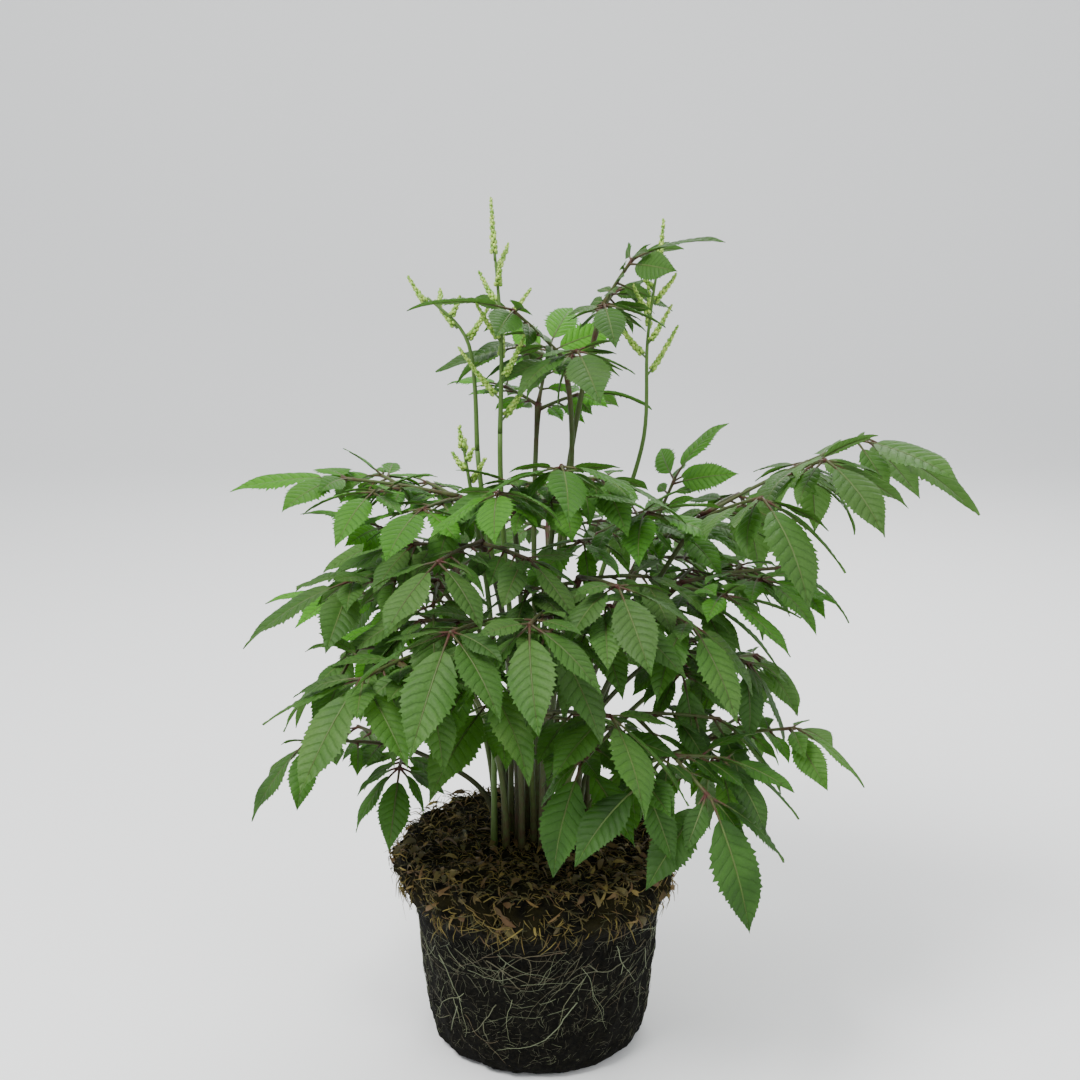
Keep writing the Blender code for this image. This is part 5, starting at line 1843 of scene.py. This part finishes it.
for k in range(FLAKE_COUNT):
    at, normal, flat = litter_spot(rng, FLAKE_TOP_SHARE)
    length, wide = rng.uniform(*FLAKE_LENGTH), rng.uniform(*FLAKE_WIDTH)
    tone = (rng.random() ** FLAKE_PALE_RARE, rng.random() ** FLAKE_BROWN_RARE, 0.0)
    points = []
    for step in range(FLAKE_STEPS + 1):
        t = step / FLAKE_STEPS
        curl = rng.uniform(-FLAKE_CURL, FLAKE_CURL)
        widest = turned(flat.cross(normal), flat, curl) * wide
        across = widest * math.sin(math.pi * (FLAKE_START + FLAKE_SPAN * t))
        middle = at + flat * length * (t - 0.5) + normal * (FLAKE_LIFT + FLAKE_ARCH * math.sin(math.pi * t))
        points += [middle - across, middle + across]
    faces = [(2 * i, 2 * i + 1, 2 * i + 3, 2 * i + 2) for i in range(FLAKE_STEPS)]
    moss.add(points, faces, [(0.0, 0.0)] * len(points), [tone] * len(points))
print("moss triangles", make_piece("moss_and_straw", moss, moss_skin, "root_ball"))

# %% [markdown]
# The stage is a pale floor that curves up behind the plant. A floor and a wall would meet in a line across
# the picture, and a quarter circle between them hides it.

# %% Pale floor
FLOOR_SIDE, FLOOR_FRONT, FLOOR_BACK, FLOOR_TOP = 3.5, -3.0, 2.6, 3.0
BEND_RADIUS, BEND_STEPS = 0.8, 16
FLOOR_WHITE, FLOOR_ROUGHNESS = (0.92, 0.92, 0.91, 1.0), 0.9


def pale_stage():
    finish, nodes, links, shader = new_finish("pale_floor")
    shader.inputs["Base Color"].default_value = FLOOR_WHITE
    shader.inputs["Roughness"].default_value = FLOOR_ROUGHNESS
    line = [(FLOOR_FRONT, 0.0), (FLOOR_BACK - BEND_RADIUS, 0.0)]
    for k in range(1, BEND_STEPS + 1):
        a = math.radians(90) * k / BEND_STEPS
        line.append((FLOOR_BACK - BEND_RADIUS + BEND_RADIUS * math.sin(a),
                     BEND_RADIUS - BEND_RADIUS * math.cos(a)))
    line.append((FLOOR_BACK, FLOOR_TOP))
    points = [(x, y, z) for y, z in line for x in (-FLOOR_SIDE, FLOOR_SIDE)]
    faces = [(2 * k, 2 * k + 1, 2 * k + 3, 2 * k + 2) for k in range(len(line) - 1)]
    mesh = bpy.data.meshes.new("pale_stage")
    mesh.from_pydata(points, [], faces)
    mesh.polygons.foreach_set("use_smooth", [True] * len(mesh.polygons))
    mesh.materials.append(finish)
    stage = bpy.data.objects.new("pale_stage", mesh)
    bpy.context.scene.collection.objects.link(stage)
    return len(faces)


print("faces of the floor", pale_stage())

# %% [markdown]
# The light is one large soft lamp from the upper left, a weaker one from the right and one from behind,
# which makes thin leaves glow. A small or bare lamp would throw hard shadows that hide the lower leaves.

# %% Soft light
AIM = Vector((0, 0, 0.25))
# Name, place, size and power of each lamp
LAMPS = (
    ("key_light", (-0.70, -0.75, 1.65), 0.8, 44.0),
    ("fill_light", (1.3, -0.9, 0.9), 1.2, 9.0),
    ("back_light", (0.4, 1.1, 1.3), 0.9, 16.0),
)


def soft_light(name, place, size, power):
    light = bpy.data.lights.new(name, "AREA")
    light.shape = "DISK"
    light.size = size
    light.energy = power
    lamp = bpy.data.objects.new(name, light)
    lamp.location = place
    lamp.rotation_euler = (AIM - Vector(place)).to_track_quat("-Z", "Y").to_euler()
    bpy.context.scene.collection.objects.link(lamp)


for lamp in LAMPS:
    soft_light(*lamp)
print("lamps", len(LAMPS))

# %% [markdown]
# Light also comes from all round, as in a white room. Without it the inside of the plant would be black.

# %% Light from all round
ROOM_COLOUR, ROOM_STRENGTH = (0.93, 0.96, 1.0, 1.0), 0.90

world = bpy.data.worlds.new("studio")
world.use_nodes = True
world.node_tree.nodes["Background"].inputs["Color"].default_value = ROOM_COLOUR
world.node_tree.nodes["Background"].inputs["Strength"].default_value = ROOM_STRENGTH
bpy.context.scene.world = world
print("strength of the room's light", ROOM_STRENGTH)

# %% [markdown]
# The camera stands a little above the leaves and looks down on them by some thirteen degrees. Both came
# from the rim and the foot of the root ball: how far a circle is flattened tells the angle, and how much
# smaller the foot looks than the rim tells the distance.

# %% Camera
CAMERA_PLACE, LOOK_DOWN = (0.001, -0.794, 0.488), math.radians(13.5)
LENS, SENSOR, NEAREST = 49.0, 36.0, 0.01

lens = bpy.data.cameras.new("camera")
lens.lens = LENS
lens.sensor_width = SENSOR
lens.clip_start = NEAREST
camera = bpy.data.objects.new("camera", lens)
camera.location = CAMERA_PLACE
camera.rotation_euler = (math.radians(90) - LOOK_DOWN, 0.0, 0.0)
bpy.context.scene.collection.objects.link(camera)
bpy.context.scene.camera = camera
print("camera at", CAMERA_PLACE)
